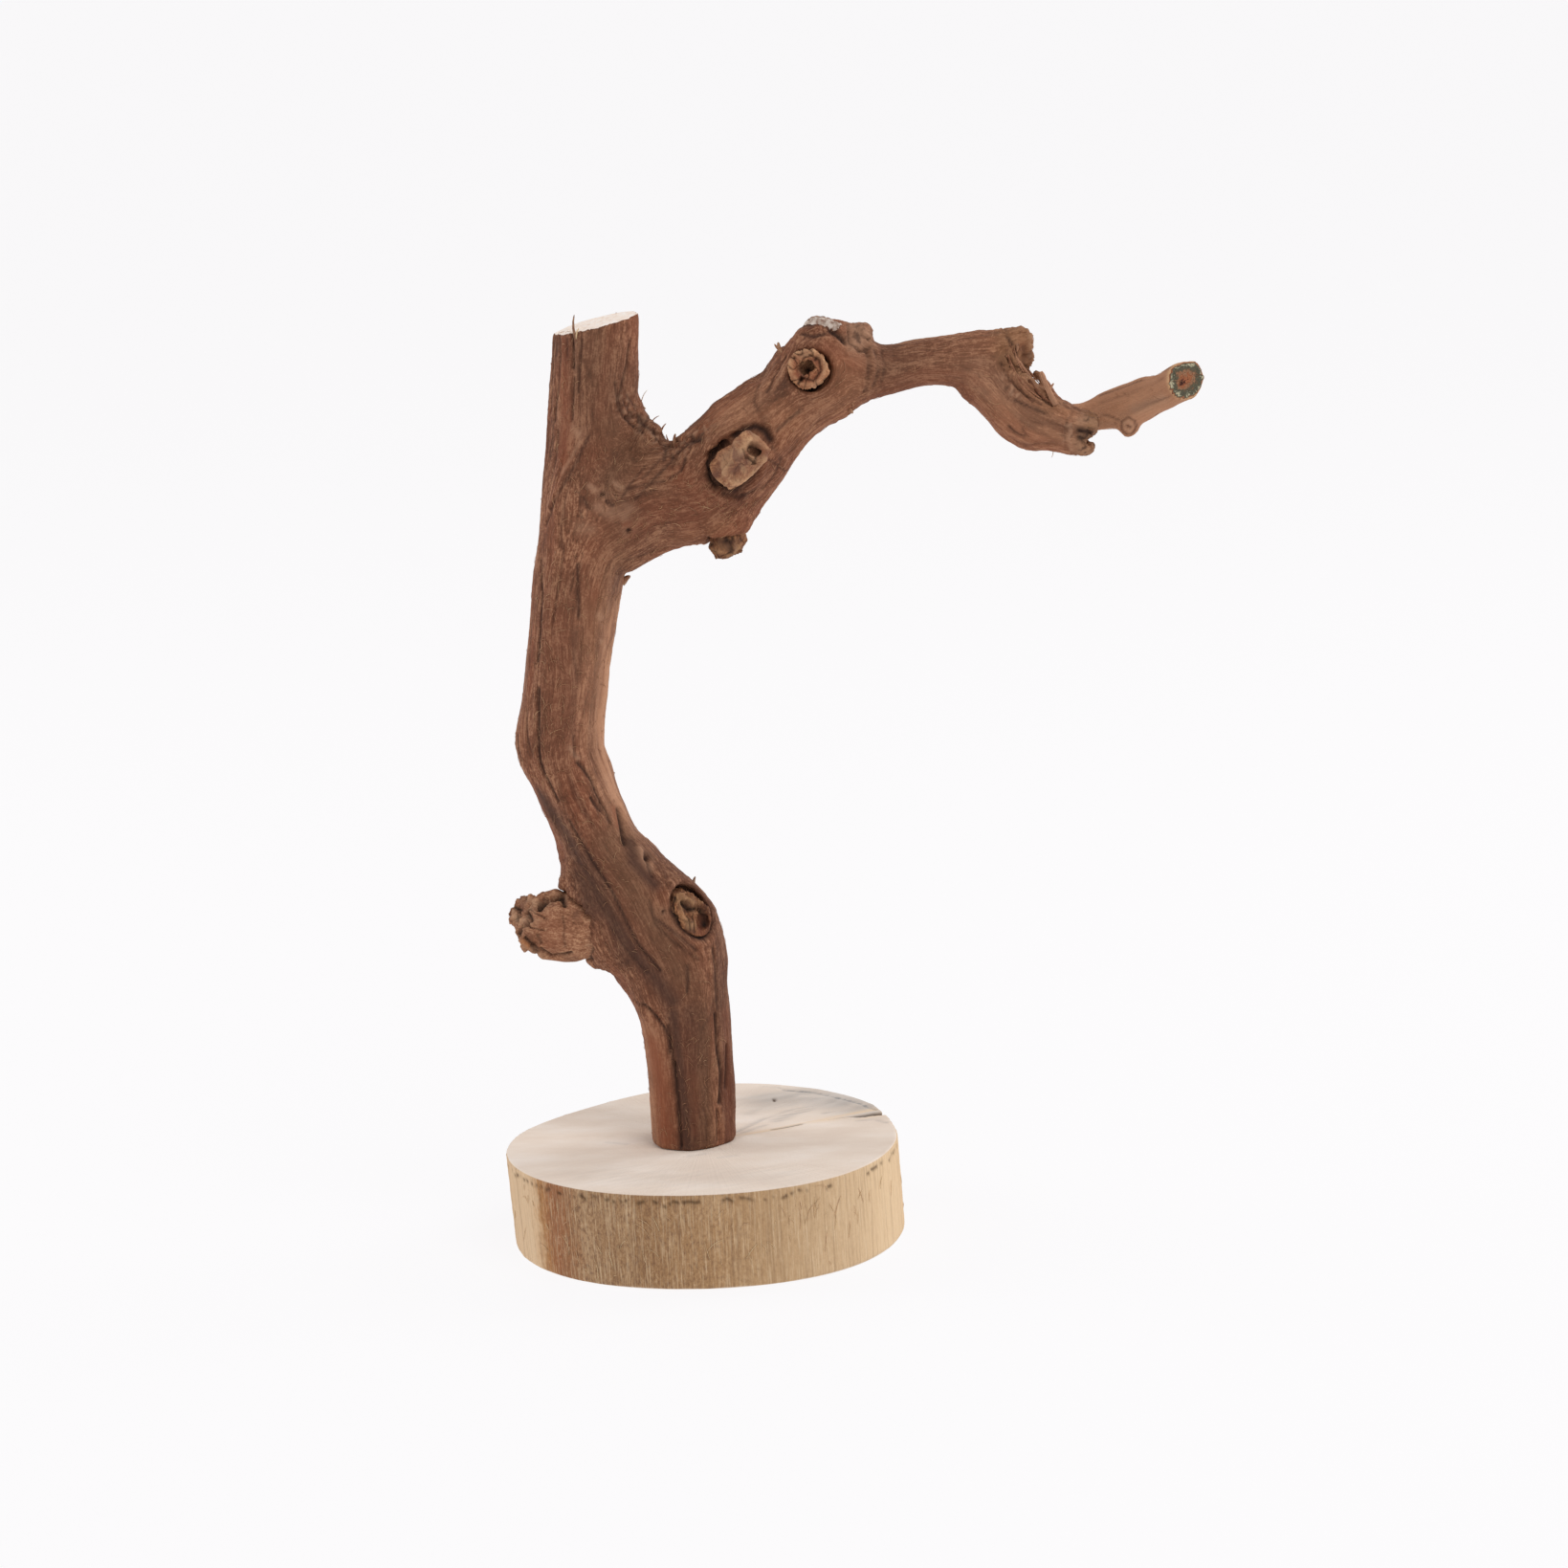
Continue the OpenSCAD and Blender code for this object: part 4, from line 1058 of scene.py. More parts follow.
def dead_knot(node, wood, voxel, rounds, rough, crumb, dig, seed, pulls, cuts,
              bowl=(0, 1), from_share=35, blotch=1):
    """In mm: rough, crumb and dig for waves, crumbs and grooves, bowl for a hollow's depth and radius."""
    skin = net_over(node, node + "_skin", voxel, rounds)
    outward = unit(knot_at[node] - np.array(root_of[node]))
    spread = points_of(skin) - points_of(skin).mean(0)
    spread -= np.outer(spread @ outward, outward)
    move_points(skin, points_of(skin) + spread * knot_shift.get(node, no_shift)[2] / 5)
    pull_skin(skin, pulls)
    at, out = points_of(skin), normals_of(skin)
    depth = (at - at.mean(0)) @ outward
    free = np.clip((depth - np.percentile(depth, from_share)) / 1.5, 0, 1)
    side = at - np.outer(at @ outward, outward)
    first, second = unit(np.cross(outward, [0.1, 0.2, 1])), unit([0.3, 0.1, 1])
    local = np.stack([side @ first, side @ second, depth], axis=1)
    worn = rough * noise(local * (0.6, 0.6, 0.1), seed) + crumb * fractal(at * 0.65, seed + 1, 4) * free
    grooves = np.exp(-(noise(local * (0.35, 0.35, 0.06), seed + 2) / 0.05) ** 2)
    worn -= dig * grooves * free
    # The part of the knot deep in its socket, and the grooves worn into it, are painted dark: painted shade.
    pocket_shade = np.clip((np.percentile(depth, 12) - depth) / 0.8, 0, 1)
    values = {"split": min(0.7, 3 * dig) * grooves * free + 0.8 * pocket_shade,
              "pale": np.clip(noise(at * 0.4, seed + 3) * 1.2, 0, 1) * free,
              "band": np.clip(noise(at * 0.3, seed + 4) * 1.5, 0, 1), "red": 0 * depth, "fresh": 0 * depth}
    from_axis = np.linalg.norm(side - side.mean(0), axis=1)
    worn -= bowl[0] * np.clip(1 - from_axis / bowl[1], 0, 1) * free * (out @ outward > 0.3)
    own_tree = tree_of(skin)
    for kind, width, depth_mm, strength, line in rows_of(cuts):
        field = line_field(at, aim(line, own_tree), width)
        worn += depth_mm * field
        values[kind] = np.maximum(values[kind], strength * field)
    outer = 0.2 + 0.8 * np.clip((depth - np.percentile(depth, 30)) / 1.5, 0, 1)
    move_points(skin, at + out * (np.minimum(worn, most_raised) * outer)[:, None])
    bpy.ops.object.shade_smooth()
    keep_value(skin, "grain", local * (1, 1, blotch) + (0, 0, 50))
    for kind, value in values.items():
        keep_value(skin, kind, np.clip(value, 0, 1))
    skin.data.materials.append(wood)
    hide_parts(node)
    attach(skin, "root")


print("roots of the knots:", ", ".join(root_of))

# %% [markdown]
# Dead wood has three looks here: weathered and pale on the two ringed knots, torn and patchy on the broken
# stub, and darker where it is still half sound.

# %% Woods of the dead knots
dead_wood = brushed_wood(
    "weathered_knot_wood", [(0.37, "#553222"), (0.46, "#8E5E43"), (0.54, "#B27B57"), (0.63, "#D6A67C")],
    [("band", "#6A473C", .8), ("pale", "#D6AC84", .6), ("red", "#8A4C34", .8), ("split", "#24150E", 1.0)])
stub_wood = brushed_wood(
    "torn_stub_wood", [(0.38, "#583625"), (0.47, "#84563D"), (0.54, "#9C6B4F"), (0.63, "#CA9A77")],
    [("band", "#6A493A", .5), ("pale", "#D2A886", .6), ("fresh", "#B5713F", .8), ("red", "#8A5038", .8),
     ("split", "#2E1D15", 1.0)])
sound_wood = brushed_wood(
    "half_sound_knot_wood", [(0.37, "#371E13"), (0.46, "#5C3624"), (0.54, "#774A31"), (0.63, "#A8744D")],
    [("band", "#4A3026", .7), ("pale", "#BC9068", .7), ("red", "#6A3826", .8), ("split", "#1E120C", 1.0)])
print("knot woods:", dead_wood.name, stub_wood.name, sound_wood.name)

# %% [markdown]
# The rows for each knot are read as the marks of the branch are. The pulls fit its outline, and the cuts
# make its pit, its cracks and its pale rims; the pit and the cracks are painted dark as shade.

# %% The five dead knots
dead_knot("front_stub", dead_wood, voxel=0.18, rounds=5, rough=.2, crumb=.18, dig=.08, seed=61, pulls=[
    (738, 490, 9, 1, 2.4), (744, 506, 6, -2, 1.8), (748, 470, 6, 5, 2.4), (775, 452, 2, 11, 2.4),
    (795, 448, 4, 12, 2.4), (748, 470, 3, 3, 2.4), (770, 480, 7, 5, 40), (756, 504, -1, 4, 1.5),
    (771, 507, 1, 3, 1.5)], cuts="""
split 1.1 -2.2 1 787,469 791,472
band 1.3 -.9 1 765,496 773,489 782,482
pale .8 .6 .8 757,494 764,483 774,472 783,461
pale .8 .5 .8 769,503 780,499 792,490 799,480
split .3 -.4 .8 791,476 788,486
band 1.4 -.2 .8 750,494 760,476 772,462
band 4.5 0 .6 758,492 788,478
red 1.2 0 .5 794,462 800,472
split .25 -.4 .8 783,478 790,484 794,492
pale .6 .35 .8 784,459 796,460 802,468 802,478
split .3 -.3 .6 776,470 781,478""")
dead_knot("eye_knot", dead_wood, voxel=0.16, rounds=3, rough=.2, crumb=.45, dig=.3, seed=67,
          bowl=(.5, 3.0), pulls=[
    (850, 388, -5, -3, 40)], cuts="""
split .9 -1.3 1 848,380 845,387
split .5 -.9 .9 844,388 837,397
split .35 -.5 .8 840,380 830,374
split .35 -.5 .9 852,376 858,371
split .3 -.5 .9 838,394 834,402
pale .4 .35 .6 826,379 828,392 837,401 850,402 860,393 863,382 856,370 845,366 833,369 826,379
split .25 -.4 .7 836,378 839,395 850,398 858,388 856,376 846,371
red 1 0 .7 853,377 857,385 852,393
red 1.2 0 .8 832,376 832,390 842,399 855,392
band .8 0 .2 838,370 850,371 859,380 858,391
pale 2 0 .4 845,385
pale .4 .3 .6 834,374 845,370""")
dead_knot("oval_knot", sound_wood, voxel=0.18, rounds=3, rough=.3, crumb=.7, dig=.15, seed=73, pulls=[
    (722, 957, -1, 8, 40)], cuts="""
red 1.6 -.4 .8 731,966 733,976 728,982
pale 1.2 .2 .4 712,936 722,941 726,950
split .7 -1.6 1 734,953 736,966 737,982
split .5 -1 .9 714,944 720,951 728,950
band 1.6 -.2 .9 713,940 722,944
pale .8 .35 .8 714,958 720,968 726,966
pale .5 .3 .8 711,942 718,938 724,944
pale .35 .3 .7 735,953 736,956
split .4 -.6 .9 705,938 704,950 708,962 718,976
split .22 -.3 .7 718,958 721,972
split .22 -.3 .7 724,956 726,974
band 1.3 -.2 .8 733,950 736,966 735,980""")
dead_knot("arm_nub", sound_wood, voxel=0.2, rounds=4, rough=.25, crumb=.35, dig=.3, seed=79, pulls=[
    (775, 582, -4, -8, 1.8), (747, 573, -5, 0, 1.6), (749, 583, 1, -3, 1.2)], cuts="""
pale 1.6 0 .4 752,574 770,574
split .5 -.4 .9 742,569 760,565 781,560
pale .6 .3 .9 752,576 762,580 772,572
fresh 1.2 0 .6 757,580 768,572
band .8 -.2 .8 758,570 770,568""")
dead_knot("broken_stub", stub_wood, voxel=0.24, rounds=4, rough=.35, crumb=.75, dig=.5, seed=83,
          from_share=62, blotch=6, pulls=[
    (551, 985, -5, 8, 2.2), (538, 972, 6, 0, 1.4), (548, 992, -4, 3, 1.6), (578, 934, 2, -7, 2.2),
    (548, 940, -3, -2, 1.6), (530, 955, 3, 0, 1.4), (539, 980, -3, 0, 1.6), (596, 1000, 0, 3, 3)], cuts="""
split 1 -1.7 1 564,948 572,941 583,938
pale .35 .5 .8 572,946 579,940
split .6 -1.2 1 580,938 588,935 590,945
split .3 -.2 .4 588,958 590,968 589,978 591,990
split .45 -.9 .95 549,980 556,987 566,994 576,999 587,998 597,996
pale .6 .4 .7 546,986 556,993 568,1001
pale .5 .4 .8 553,952 552,962
pale .5 .3 .8 546,962 556,966
split .6 -.3 .7 539,942 545,939
split .5 -.2 .8 532,952 532,960
red 3 0 .4 566,962 580,975 575,988
split .5 -1 .95 546,970 542,976
split .5 -.9 .9 552,952 556,962 550,968
pale 1 .3 .9 538,958 546,964
split .4 -.8 .9 537,948 545,952
pale .8 .2 .7 552,940 560,944
split .3 -.4 .6 562,978 566,986
fresh .6 0 .8 546,984 553,988
split .4 -.7 .8 556,990 562,996""")

# %% [markdown]
# The base is a slice of a pale log, sawn flat above and below, with its bark stripped. It is turned like a
# pot: a flat grid of faces is wrapped round so that one way of the grid is the angle and the other is the
# slice's outline in section.

# %% Section of the slice
# Radii in mm of the screw's hole, its recess and its countersink.
hole, recess, seat = 2.25, 4.25, 4.05
recess_depth, crack_angle = 2.5, math.radians(19)
around = 476                                     # faces round the slice


def slice_radius(a):
    return 42.5 * (1 + .014 * np.cos(a - 1.047) + .005 * np.cos(2 * a - 1.396) + .025 * np.cos(3 * a + 2.443)
                   + .008 * np.cos(4 * a + .611) + .006 * np.cos(5 * a - 1.344))


# Each row is a place, then a share of the way from hole to rim, an inset from the rim or a radius, then z.
section = [("hole", hole, z) for z in (14, 20.6)]
section += [("face", f, slice_top) for f in np.linspace(0, 1, 90) ** 0.92]
section += [("rim", .25, 20.93), ("rim", .08, 20.8), ("rim", 0, 20.55)]
section += [("rim", 0.2 * (1 - z / slice_top), z) for z in np.linspace(20.2, 0.9, 66)]
section += [("rim", .35, .45), ("rim", .62, .15), ("rim", 1.1, 0)]
section += [("under", f, 0.0) for f in np.linspace(1, 0, 16)[1:]]
section += [("hole", recess, 1.2), ("hole", recess, recess_depth), ("hole", seat, recess_depth)]
section += [("hole", seat, 3.05), ("hole", hole, 5.0)]
rows = len(section)
deselect()
bpy.ops.mesh.primitive_grid_add(x_subdivisions=around, y_subdivisions=rows, size=1)
log_slice = bpy.context.object
log_slice.name = log_slice.data.name = "log_slice"
grid = points_of(log_slice) / 1000
column_angles = np.linspace(0, 2 * math.pi, 2000)
crowding = 1 + 2.5 * np.exp(-((column_angles - crack_angle) / math.radians(4)) ** 2)
columns_so_far = np.concatenate([[0], np.cumsum((crowding[1:] + crowding[:-1]) / 2)])
turn = np.interp((grid[:, 0] + 0.5) * columns_so_far[-1], columns_so_far, column_angles)
row = np.rint((grid[:, 1] + 0.5) * rows).astype(int) % rows
print("slice grid:", around, "by", rows)

# %% Wrap the grid into the slice
lean, screw_x = 0.8, -2.4                        # mm: the rim's lean towards +x, and the screw's place
dents = ((math.pi, .5, -.2), (2.4, .45, -1.0), (0.12, .22, -.7), (.62, .22, .3), (-.75, .35, .35))
kinds = np.array([s[0] for s in section])[row]
amount = np.array([s[1] for s in section], float)[row]
z = np.array([s[2] for s in section], float)[row]
rim = slice_radius(turn)
for middle, reach, swell in dents:
    off = (turn - middle + math.pi) % (2 * math.pi) - math.pi
    rim = rim + swell * np.exp(-(off / reach) ** 2)
shift = lean * (1 - z / slice_top)
inner = np.where(kinds == "under", recess, hole)
outer_inset = np.where(kinds == "under", 1.1, 0.5)
between = inner + (rim - outer_inset - inner) * amount
radius = np.select([kinds == "hole", kinds == "rim"], [amount, rim - amount], between)
middle_x = np.select([kinds == "hole", kinds == "rim"], [screw_x + 0 * z, shift],
                     screw_x + (shift - screw_x) * amount)
move_points(log_slice, np.stack([radius * np.cos(turn) + middle_x, radius * np.sin(turn), z], axis=1))
weld(0.00001)
print("slice has", len(log_slice.data.polygons), "faces")

# %% [markdown]
# Its side is the bare wood under the bark, so it has upright fibres, shallow flutes and a ragged line under
# the top edge where the saw tore them. The top has the drying crack, the folds beside it and faint saw
# marks.

# %% Flutes and fibres of the slice's side
side_pit = (792, 1327)
points, normals = points_of(log_slice), normals_of(log_slice)
angle = np.arctan2(points[:, 1], points[:, 0])
far = np.hypot(points[:, 0], points[:, 1])
wall = (np.abs(normals[:, 2]) < 0.6) & (far > 30)
top = (points[:, 2] > slice_top - 0.6) & (far > 5)
slice_tree = tree_of(log_slice)


def on_slice(line, width):
    return line_field(points, aim(line, slice_tree), width)


across = np.stack([np.cos(angle) * 42, np.sin(angle) * 42, points[:, 2]], axis=1)
waves = 0.2 * noise(across * (0.16, 0.16, 0.01), 91) + 0.06 * noise(across * (0.7, 0.7, 0.06), 92)
height = np.where(wall, waves + 0.10 * noise(across * (1.2, 1.2, 0.5), 93), 0.0)
torn_line = np.exp(-((points[:, 2] - 19.3 - 1.0 * noise(across * (0.5, 0.5, 0), 94)) / 0.42) ** 2)
torn_line *= np.clip(noise(across * (0.8, 0.8, 0), 95) * 6 + 0.5, 0, 1)
torn_line *= np.clip(noise(across * (0.16, 0.16, 0), 105) * 5 + 1.5, 0, 1)
height -= np.where(wall, 0.25 * torn_line + 0.5 * on_slice([side_pit], 0.4), 0)
print("side points:", int(wall.sum()))

# %% [markdown]
# The folds of the sawn top: each row is a width and a depth in mm, the strength of the grey tint, then
# picture points. The grey is the blue-grey stain, painted shade in the hollows of the folds, and a faint
# greying across the front of the top.

# %% Folds, stain and painted shade on the sawn top
stain_line = [(806, 1150), (840, 1147), (872, 1150), (902, 1157)]
clear_spot = [(838, 1146), (860, 1147)]
slits = (([(808, 1181), (821, 1179), (836, 1176)], .6), ([(809, 1148.2), (809.5, 1150.2)], .36))
warm_line = [(770, 1187), (812, 1181), (850, 1172), (886, 1166), (912, 1160)]
grain_turn = 0.42                                # radians, the way of the saw marks
turned = points[:, :2] @ np.array([[math.cos(grain_turn), -math.sin(grain_turn)],
                                   [math.sin(grain_turn), math.cos(grain_turn)]])
sweep = np.stack([turned[:, 0] * 0.05, turned[:, 1] * 0.35, 0 * angle], axis=1)
stain_and_shade = 0.75 * on_slice(stain_line, 8) * top * np.clip(1 + 0.3 * noise(sweep, 97), 0, 2)
for width, depth, amount, line in rows_of("""
4 .25 .3 850,1142 882,1149 905,1156
2.2 -.15 .45 784,1163 796,1157 806,1151
2 -.2 .5 812,1170 830,1163 853,1157
.8 -.2 1.3 820,1139 852,1143 886,1151 915,1160
.9 -.25 .5 770,1182 800,1168 830,1158 870,1152
1 .3 .3 836,1152 866,1150 900,1157
1.2 -.2 .45 862,1163 884,1158 904,1158
1.6 .3 0 775,1190 815,1182 850,1175 885,1170
.8 -.15 .4 896,1171 914,1170 926,1173
.9 .2 .4 800,1136 812,1137
.5 -.3 .5 806,1136 822,1138
.8 -.1 .35 764,1188 786,1180 800,1176
1 -.1 .2 720,1208 735,1206
.8 -.1 .2 752,1210 768,1208
.7 0 .22 635,1194 655,1196
1.2 0 .15 560,1232 590,1228
.9 0 .15 600,1245 640,1243
10 0 .22 620,1228 700,1232 800,1230"""):
    field = on_slice(line, width) * top
    height += depth * field
    stain_and_shade = np.maximum(stain_and_shade, amount * field * np.clip(1 + 0.8 * noise(sweep * 2.5, 103), 0.4, 1.3))
stain_and_shade *= 1 - 0.4 * on_slice(clear_spot, 1.0)
slit = sum(on_slice(line, width) for line, width in slits) * top
height -= 0.4 * slit
warm = on_slice(warm_line, 1.4) * top
print("strongest stain:", round(stain_and_shade.max(), 2))

# %% [markdown]
# The drying crack opens from inside the rim and runs out through it, as wood shrinks most along its rings.
# The points near it sink in the top and move in on the side.

# %% Drying crack
crack_start, crack_run, crack_half, crack_drop = 28, 13, 1.5, 5.0   # mm
crack_way = np.array([math.cos(crack_angle), math.sin(crack_angle)])
along = points[:, :2] @ crack_way
off = points[:, :2] @ np.array([-crack_way[1], crack_way[0]]) + 0.5 * noise(points * 0.25, 96)
open_width = np.clip((along - crack_start) / crack_run, 0, 1) * crack_half
in_crack = np.clip(1 - np.abs(off) / np.maximum(open_width, 0.01), 0, 1) * (along > crack_start)
drop = np.where(top, in_crack * crack_drop, 0)
push = np.where(wall, in_crack * 2.5 * np.clip((points[:, 2] - 10) / 8, 0, 1), 0)
moved = points + normals * height[:, None]
moved[:, 2] -= drop
moved[:, 0] -= np.cos(angle) * push
moved[:, 1] -= np.sin(angle) * push
move_points(log_slice, moved)
bpy.ops.object.shade_smooth()
keep_value(log_slice, "grain", across)
keep_value(log_slice, "wall", wall.astype(float))
# The crack and the slits are painted dark, as painted shade inside them; the torn line's dashes on the side
# are darkened too.
in_depth = np.clip((points[:, 2] - 10 + noise(points * 0.4, 101)) / 3, 0, 1)
crack_shade = in_crack * np.where(top, 6, 1.8) * in_depth
keep_value(log_slice, "split", np.clip(crack_shade + slit + np.where(wall, torn_line * 0.75, 0), 0, 1))
crack_lip = np.exp(-((np.abs(off) - open_width) / 1.1) ** 2) * np.clip((along - 14) / 14, 0, 1) * top
keep_value(log_slice, "lip", np.maximum(crack_lip, warm) * np.clip(0.6 + noise(sweep * 2, 102), 0, 1))
keep_value(log_slice, "stain_and_shade", stain_and_shade)
wobbly = angle + 0.038 * noise(across * 0.3, 99) + 0.025 * noise(across * 1.2, 100)
keep_value(log_slice, "facing", np.stack([np.cos(wobbly), np.sin(wobbly), 0 * angle], axis=1))
print("crack depth, mm:", round(drop.max(), 1))

# %% [markdown]
# The slice's wood: pale poplar-like timber. The sawn top is cream with a pink tinge and a blue-grey fungus
# stain at the back right, with painted shade in the hollows of its folds, and the side is tan with grey-brown
# patches left by the bark. The patches and tones follow the angle round the slice; the tones are lighter
# towards its left and right edges, partly as the pale wood there and partly as painted rim light.

# %% Side of the slice
slice_wood, tree, shader = new_material("sawn_pale_log", Roughness=0.82)
shader.inputs["Specular IOR Level"].default_value = 0.25
grain = read(tree, "grain", "Vector")
patterns = {}
for name, stretch, detail, roughness in (
        ("tall", (1.6, 1.6, 0.05), 3.0, .5), ("patch", (0.11, 0.11, 0.04), 3.0, .5),
        ("mottle", (0.9, 0.9, 0.5), 4.0, .5), ("fine", (3.2, 3.2, 0.16), 2.0, .5),
        ("dirt", (1.5, 1.5, 0.9), 6.0, .75)):
    way = put(tree, "Mapping", {"Vector": grain, "Scale": stretch})
    made_of = {"Vector": way, "Scale": 1.0, "Detail": detail, "Roughness": roughness}
    patterns[name] = put(tree, "TexNoise", made_of)
facing = put(tree, "SeparateXYZ", {"Vector": read(tree, "facing", "Vector")}).outputs
turned_by = put(tree, "Math", {0: facing["Y"], 1: facing["X"]}, operation="ARCTAN2")
turned_by = put(tree, "Math", {0: turned_by, 1: 0.5 / math.pi}, operation="MULTIPLY")
round_share = put(tree, "Math", {0: turned_by}, operation="FRACT")
# Tones by angle round the side: lighter towards the left and right edges, partly pale wood and partly painted
# rim light.
side_tones_and_rim_light = put(tree, "ValToRGB", {"Fac": round_share}, stops=[
    (0.0, "#D9B991"), (0.07, "#B08D6C"), (0.13, "#C9A780"), (0.24, "#A5825F"), (0.33, "#C2A078"),
    (0.42, "#9F7E5E"), (0.48, "#CBA882"), (0.575, "#DBBC98"), (0.588, "#D2AC84"), (0.594, "#B07E4E"),
    (0.612, "#985F3A"), (0.63, "#9C6E4A"), (0.645, "#A6825F"), (0.70, "#A07A55"), (0.765, "#B18B63"),
    (0.83, "#C3A27C"), (0.87, "#CDAE89"), (0.93, "#DDBF99"), (1.0, "#D9B991")])
dirty = put(tree, "ValToRGB", {"Fac": round_share}, stops=[
    (0.0, "#303030"), (0.3, "#808080"), (0.56, "#202020"), (0.60, "#A0A0A0"), (0.64, "#F0F0F0"),
    (0.75, "#D0D0D0"), (0.80, "#808080"), (0.9, "#505050")])
strengths = {}
for name, pattern, low, high, most in (
        ("stripe", "patch", 0.52, 0.7, 0.35), ("spots", "dirt", 0.52, 0.36, 1.0),
        ("bright", "dirt", 0.55, 0.68, 0.5), ("light", "fine", 0.5, 0.72, 0.5),
        ("dark", "tall", 0.5, 0.28, 0.35)):
    reach = {"Value": patterns[pattern], "From Min": low, "From Max": high, "To Max": most}
    strengths[name] = put(tree, "MapRange", reach)
strengths["spots"] = put(tree, "Math", {0: strengths["spots"], 1: dirty}, operation="MULTIPLY")
side_colour = side_tones_and_rim_light
for name, code in (("stripe", "#D2B28C"), ("spots", "#70503C"), ("bright", "#D3B695"), ("light", "#E3C9A6"),
                   ("dark", "#7E6048")):
    side_colour = put(tree, "Mix", {"Factor": strengths[name], 6: side_colour, 7: code}, data_type="RGBA")
print("side of the slice:", len(tree.nodes), "nodes")

# %% Top of the slice
spot = put(tree, "TexCoord").outputs["Object"]
cloud_way = put(tree, "Mapping", {"Vector": spot, "Scale": (50, 120, 60), "Rotation": (0, 0, grain_turn)})
cloud = put(tree, "TexNoise", {"Vector": cloud_way, "Scale": 1.0, "Detail": 3.0})
colour = put(tree, "ValToRGB", {"Fac": cloud}, stops=[(0.3, "#E3D1C1"), (0.5, "#EADACB"), (0.7, "#F0E3D7")])
# stain_and_shade greys the top: the blue-grey stain and the painted shade in the folds.
for value, amount, code in (("stain_and_shade", 0.7, "#8F8C8A"), ("lip", 0.6, "#EACBA4")):
    factor = put(tree, "Math", {0: read(tree, value), 1: amount}, operation="MULTIPLY")
    colour = put(tree, "Mix", {"Factor": factor, 6: colour, 7: code}, data_type="RGBA")
colour = put(tree, "Mix", {"Factor": read(tree, "wall"), 6: colour, 7: side_colour}, data_type="RGBA")
colour = put(tree, "Mix", {"Factor": read(tree, "split"), 6: colour, 7: "#49331F"}, data_type="RGBA")
tree.links.new(colour.outputs[2], shader.inputs["Base Color"])
relief = put(tree, "Math", {0: patterns["tall"], 1: patterns["mottle"]}, operation="ADD")
bump = put(tree, "Bump", {"Height": relief, "Strength": 0.5, "Distance": 0.0003})
tree.links.new(bump.outputs[0], shader.inputs["Normal"])
log_slice.data.materials.append(slice_wood)
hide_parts("base_slice")
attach(log_slice, "root")
print("slice wood has", len(tree.nodes), "nodes")

# %% [markdown]
# One countersunk wood screw comes up through the slice. Only its head shows, from below. It is turned like
# the slice, from a grid: the thread is a ridge that climbs as it goes round, and the cross in the head is
# pressed in by lowering points.

# %% Wood screw
screw_low, screw_top = (corner[2] * 1000 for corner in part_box("wood_screw"))
head_radius, core_radius, tip_radius = 3.95, 1.35, 0.02        # mm
pitch, ridge, cross_half, cross_depth = 1.8, 0.45, 0.5, 1.3    # mm
steps, head_steps = 240, 40
deselect()
bpy.ops.mesh.primitive_grid_add(x_subdivisions=48, y_subdivisions=steps, size=1)
screw = bpy.context.object
screw.name = screw.data.name = "countersunk_screw"
grid = points_of(screw) / 1000
turn = (grid[:, 0] + 0.5) * 2 * math.pi
down = np.rint((grid[:, 1] + 0.5) * steps).astype(int)
in_head = down <= head_steps
rise = np.where(in_head, 0, (down - head_steps) / (steps - head_steps))
height = screw_low + rise * (screw_top - screw_low)
profile = np.interp(height, [screw_low, screw_low + .5, screw_low + 2.4, screw_top - 6, screw_top],
                    [head_radius, head_radius, 1.5, core_radius, tip_radius])
radius = np.where(in_head, down / head_steps * head_radius, profile)
threaded = (height > screw_low + 12) * (height < screw_top - 2)
radius = radius + np.clip(np.cos(height * 2 * math.pi / pitch - turn), 0, 1) ** 4 * ridge * threaded
cross_x, cross_y = np.abs(radius * np.cos(turn)), np.abs(radius * np.sin(turn))
pressed = ((cross_x < cross_half) | (cross_y < cross_half)) & (radius < 2.1) & in_head
height = np.where(pressed, screw_low + cross_depth, height)
move_points(screw, np.stack([radius * np.cos(turn) + screw_x, radius * np.sin(turn), height], axis=1))
weld(0.000005)
bpy.ops.object.shade_smooth_by_angle(angle=math.radians(35))
print("screw runs from z", round(screw_low, 1), "to", round(screw_top, 1))

# %% [markdown]
# The screw is steel with a bright zinc plating, which is a slightly warm, soft mirror.

# %% Zinc plated steel
steel, tree, shader = new_material("zinc_plated_steel", Metallic=1.0, Roughness=0.34)
spot = put(tree, "TexCoord").outputs["Object"]
spangle = put(tree, "TexNoise", {"Vector": spot, "Scale": 900.0, "Detail": 2.0})
tint = put(tree, "ValToRGB", {"Fac": spangle}, stops=[(0.3, "#A9A79C"), (0.7, "#CFCDBF")])
tree.links.new(tint.outputs["Color"], shader.inputs["Base Color"])
screw.data.materials.append(steel)
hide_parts("wood_screw")
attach(screw, "root")
print(steel.name, "on", screw.name)

# %% [markdown]
# Brushing a dry branch lifts fine bast fibres, which stay on it as pale and orange flecks that cross the
# grain. Each one is a three-sided thread of a few steps that is laid on the skin. They are made together as
# one mesh, since there are hundreds.


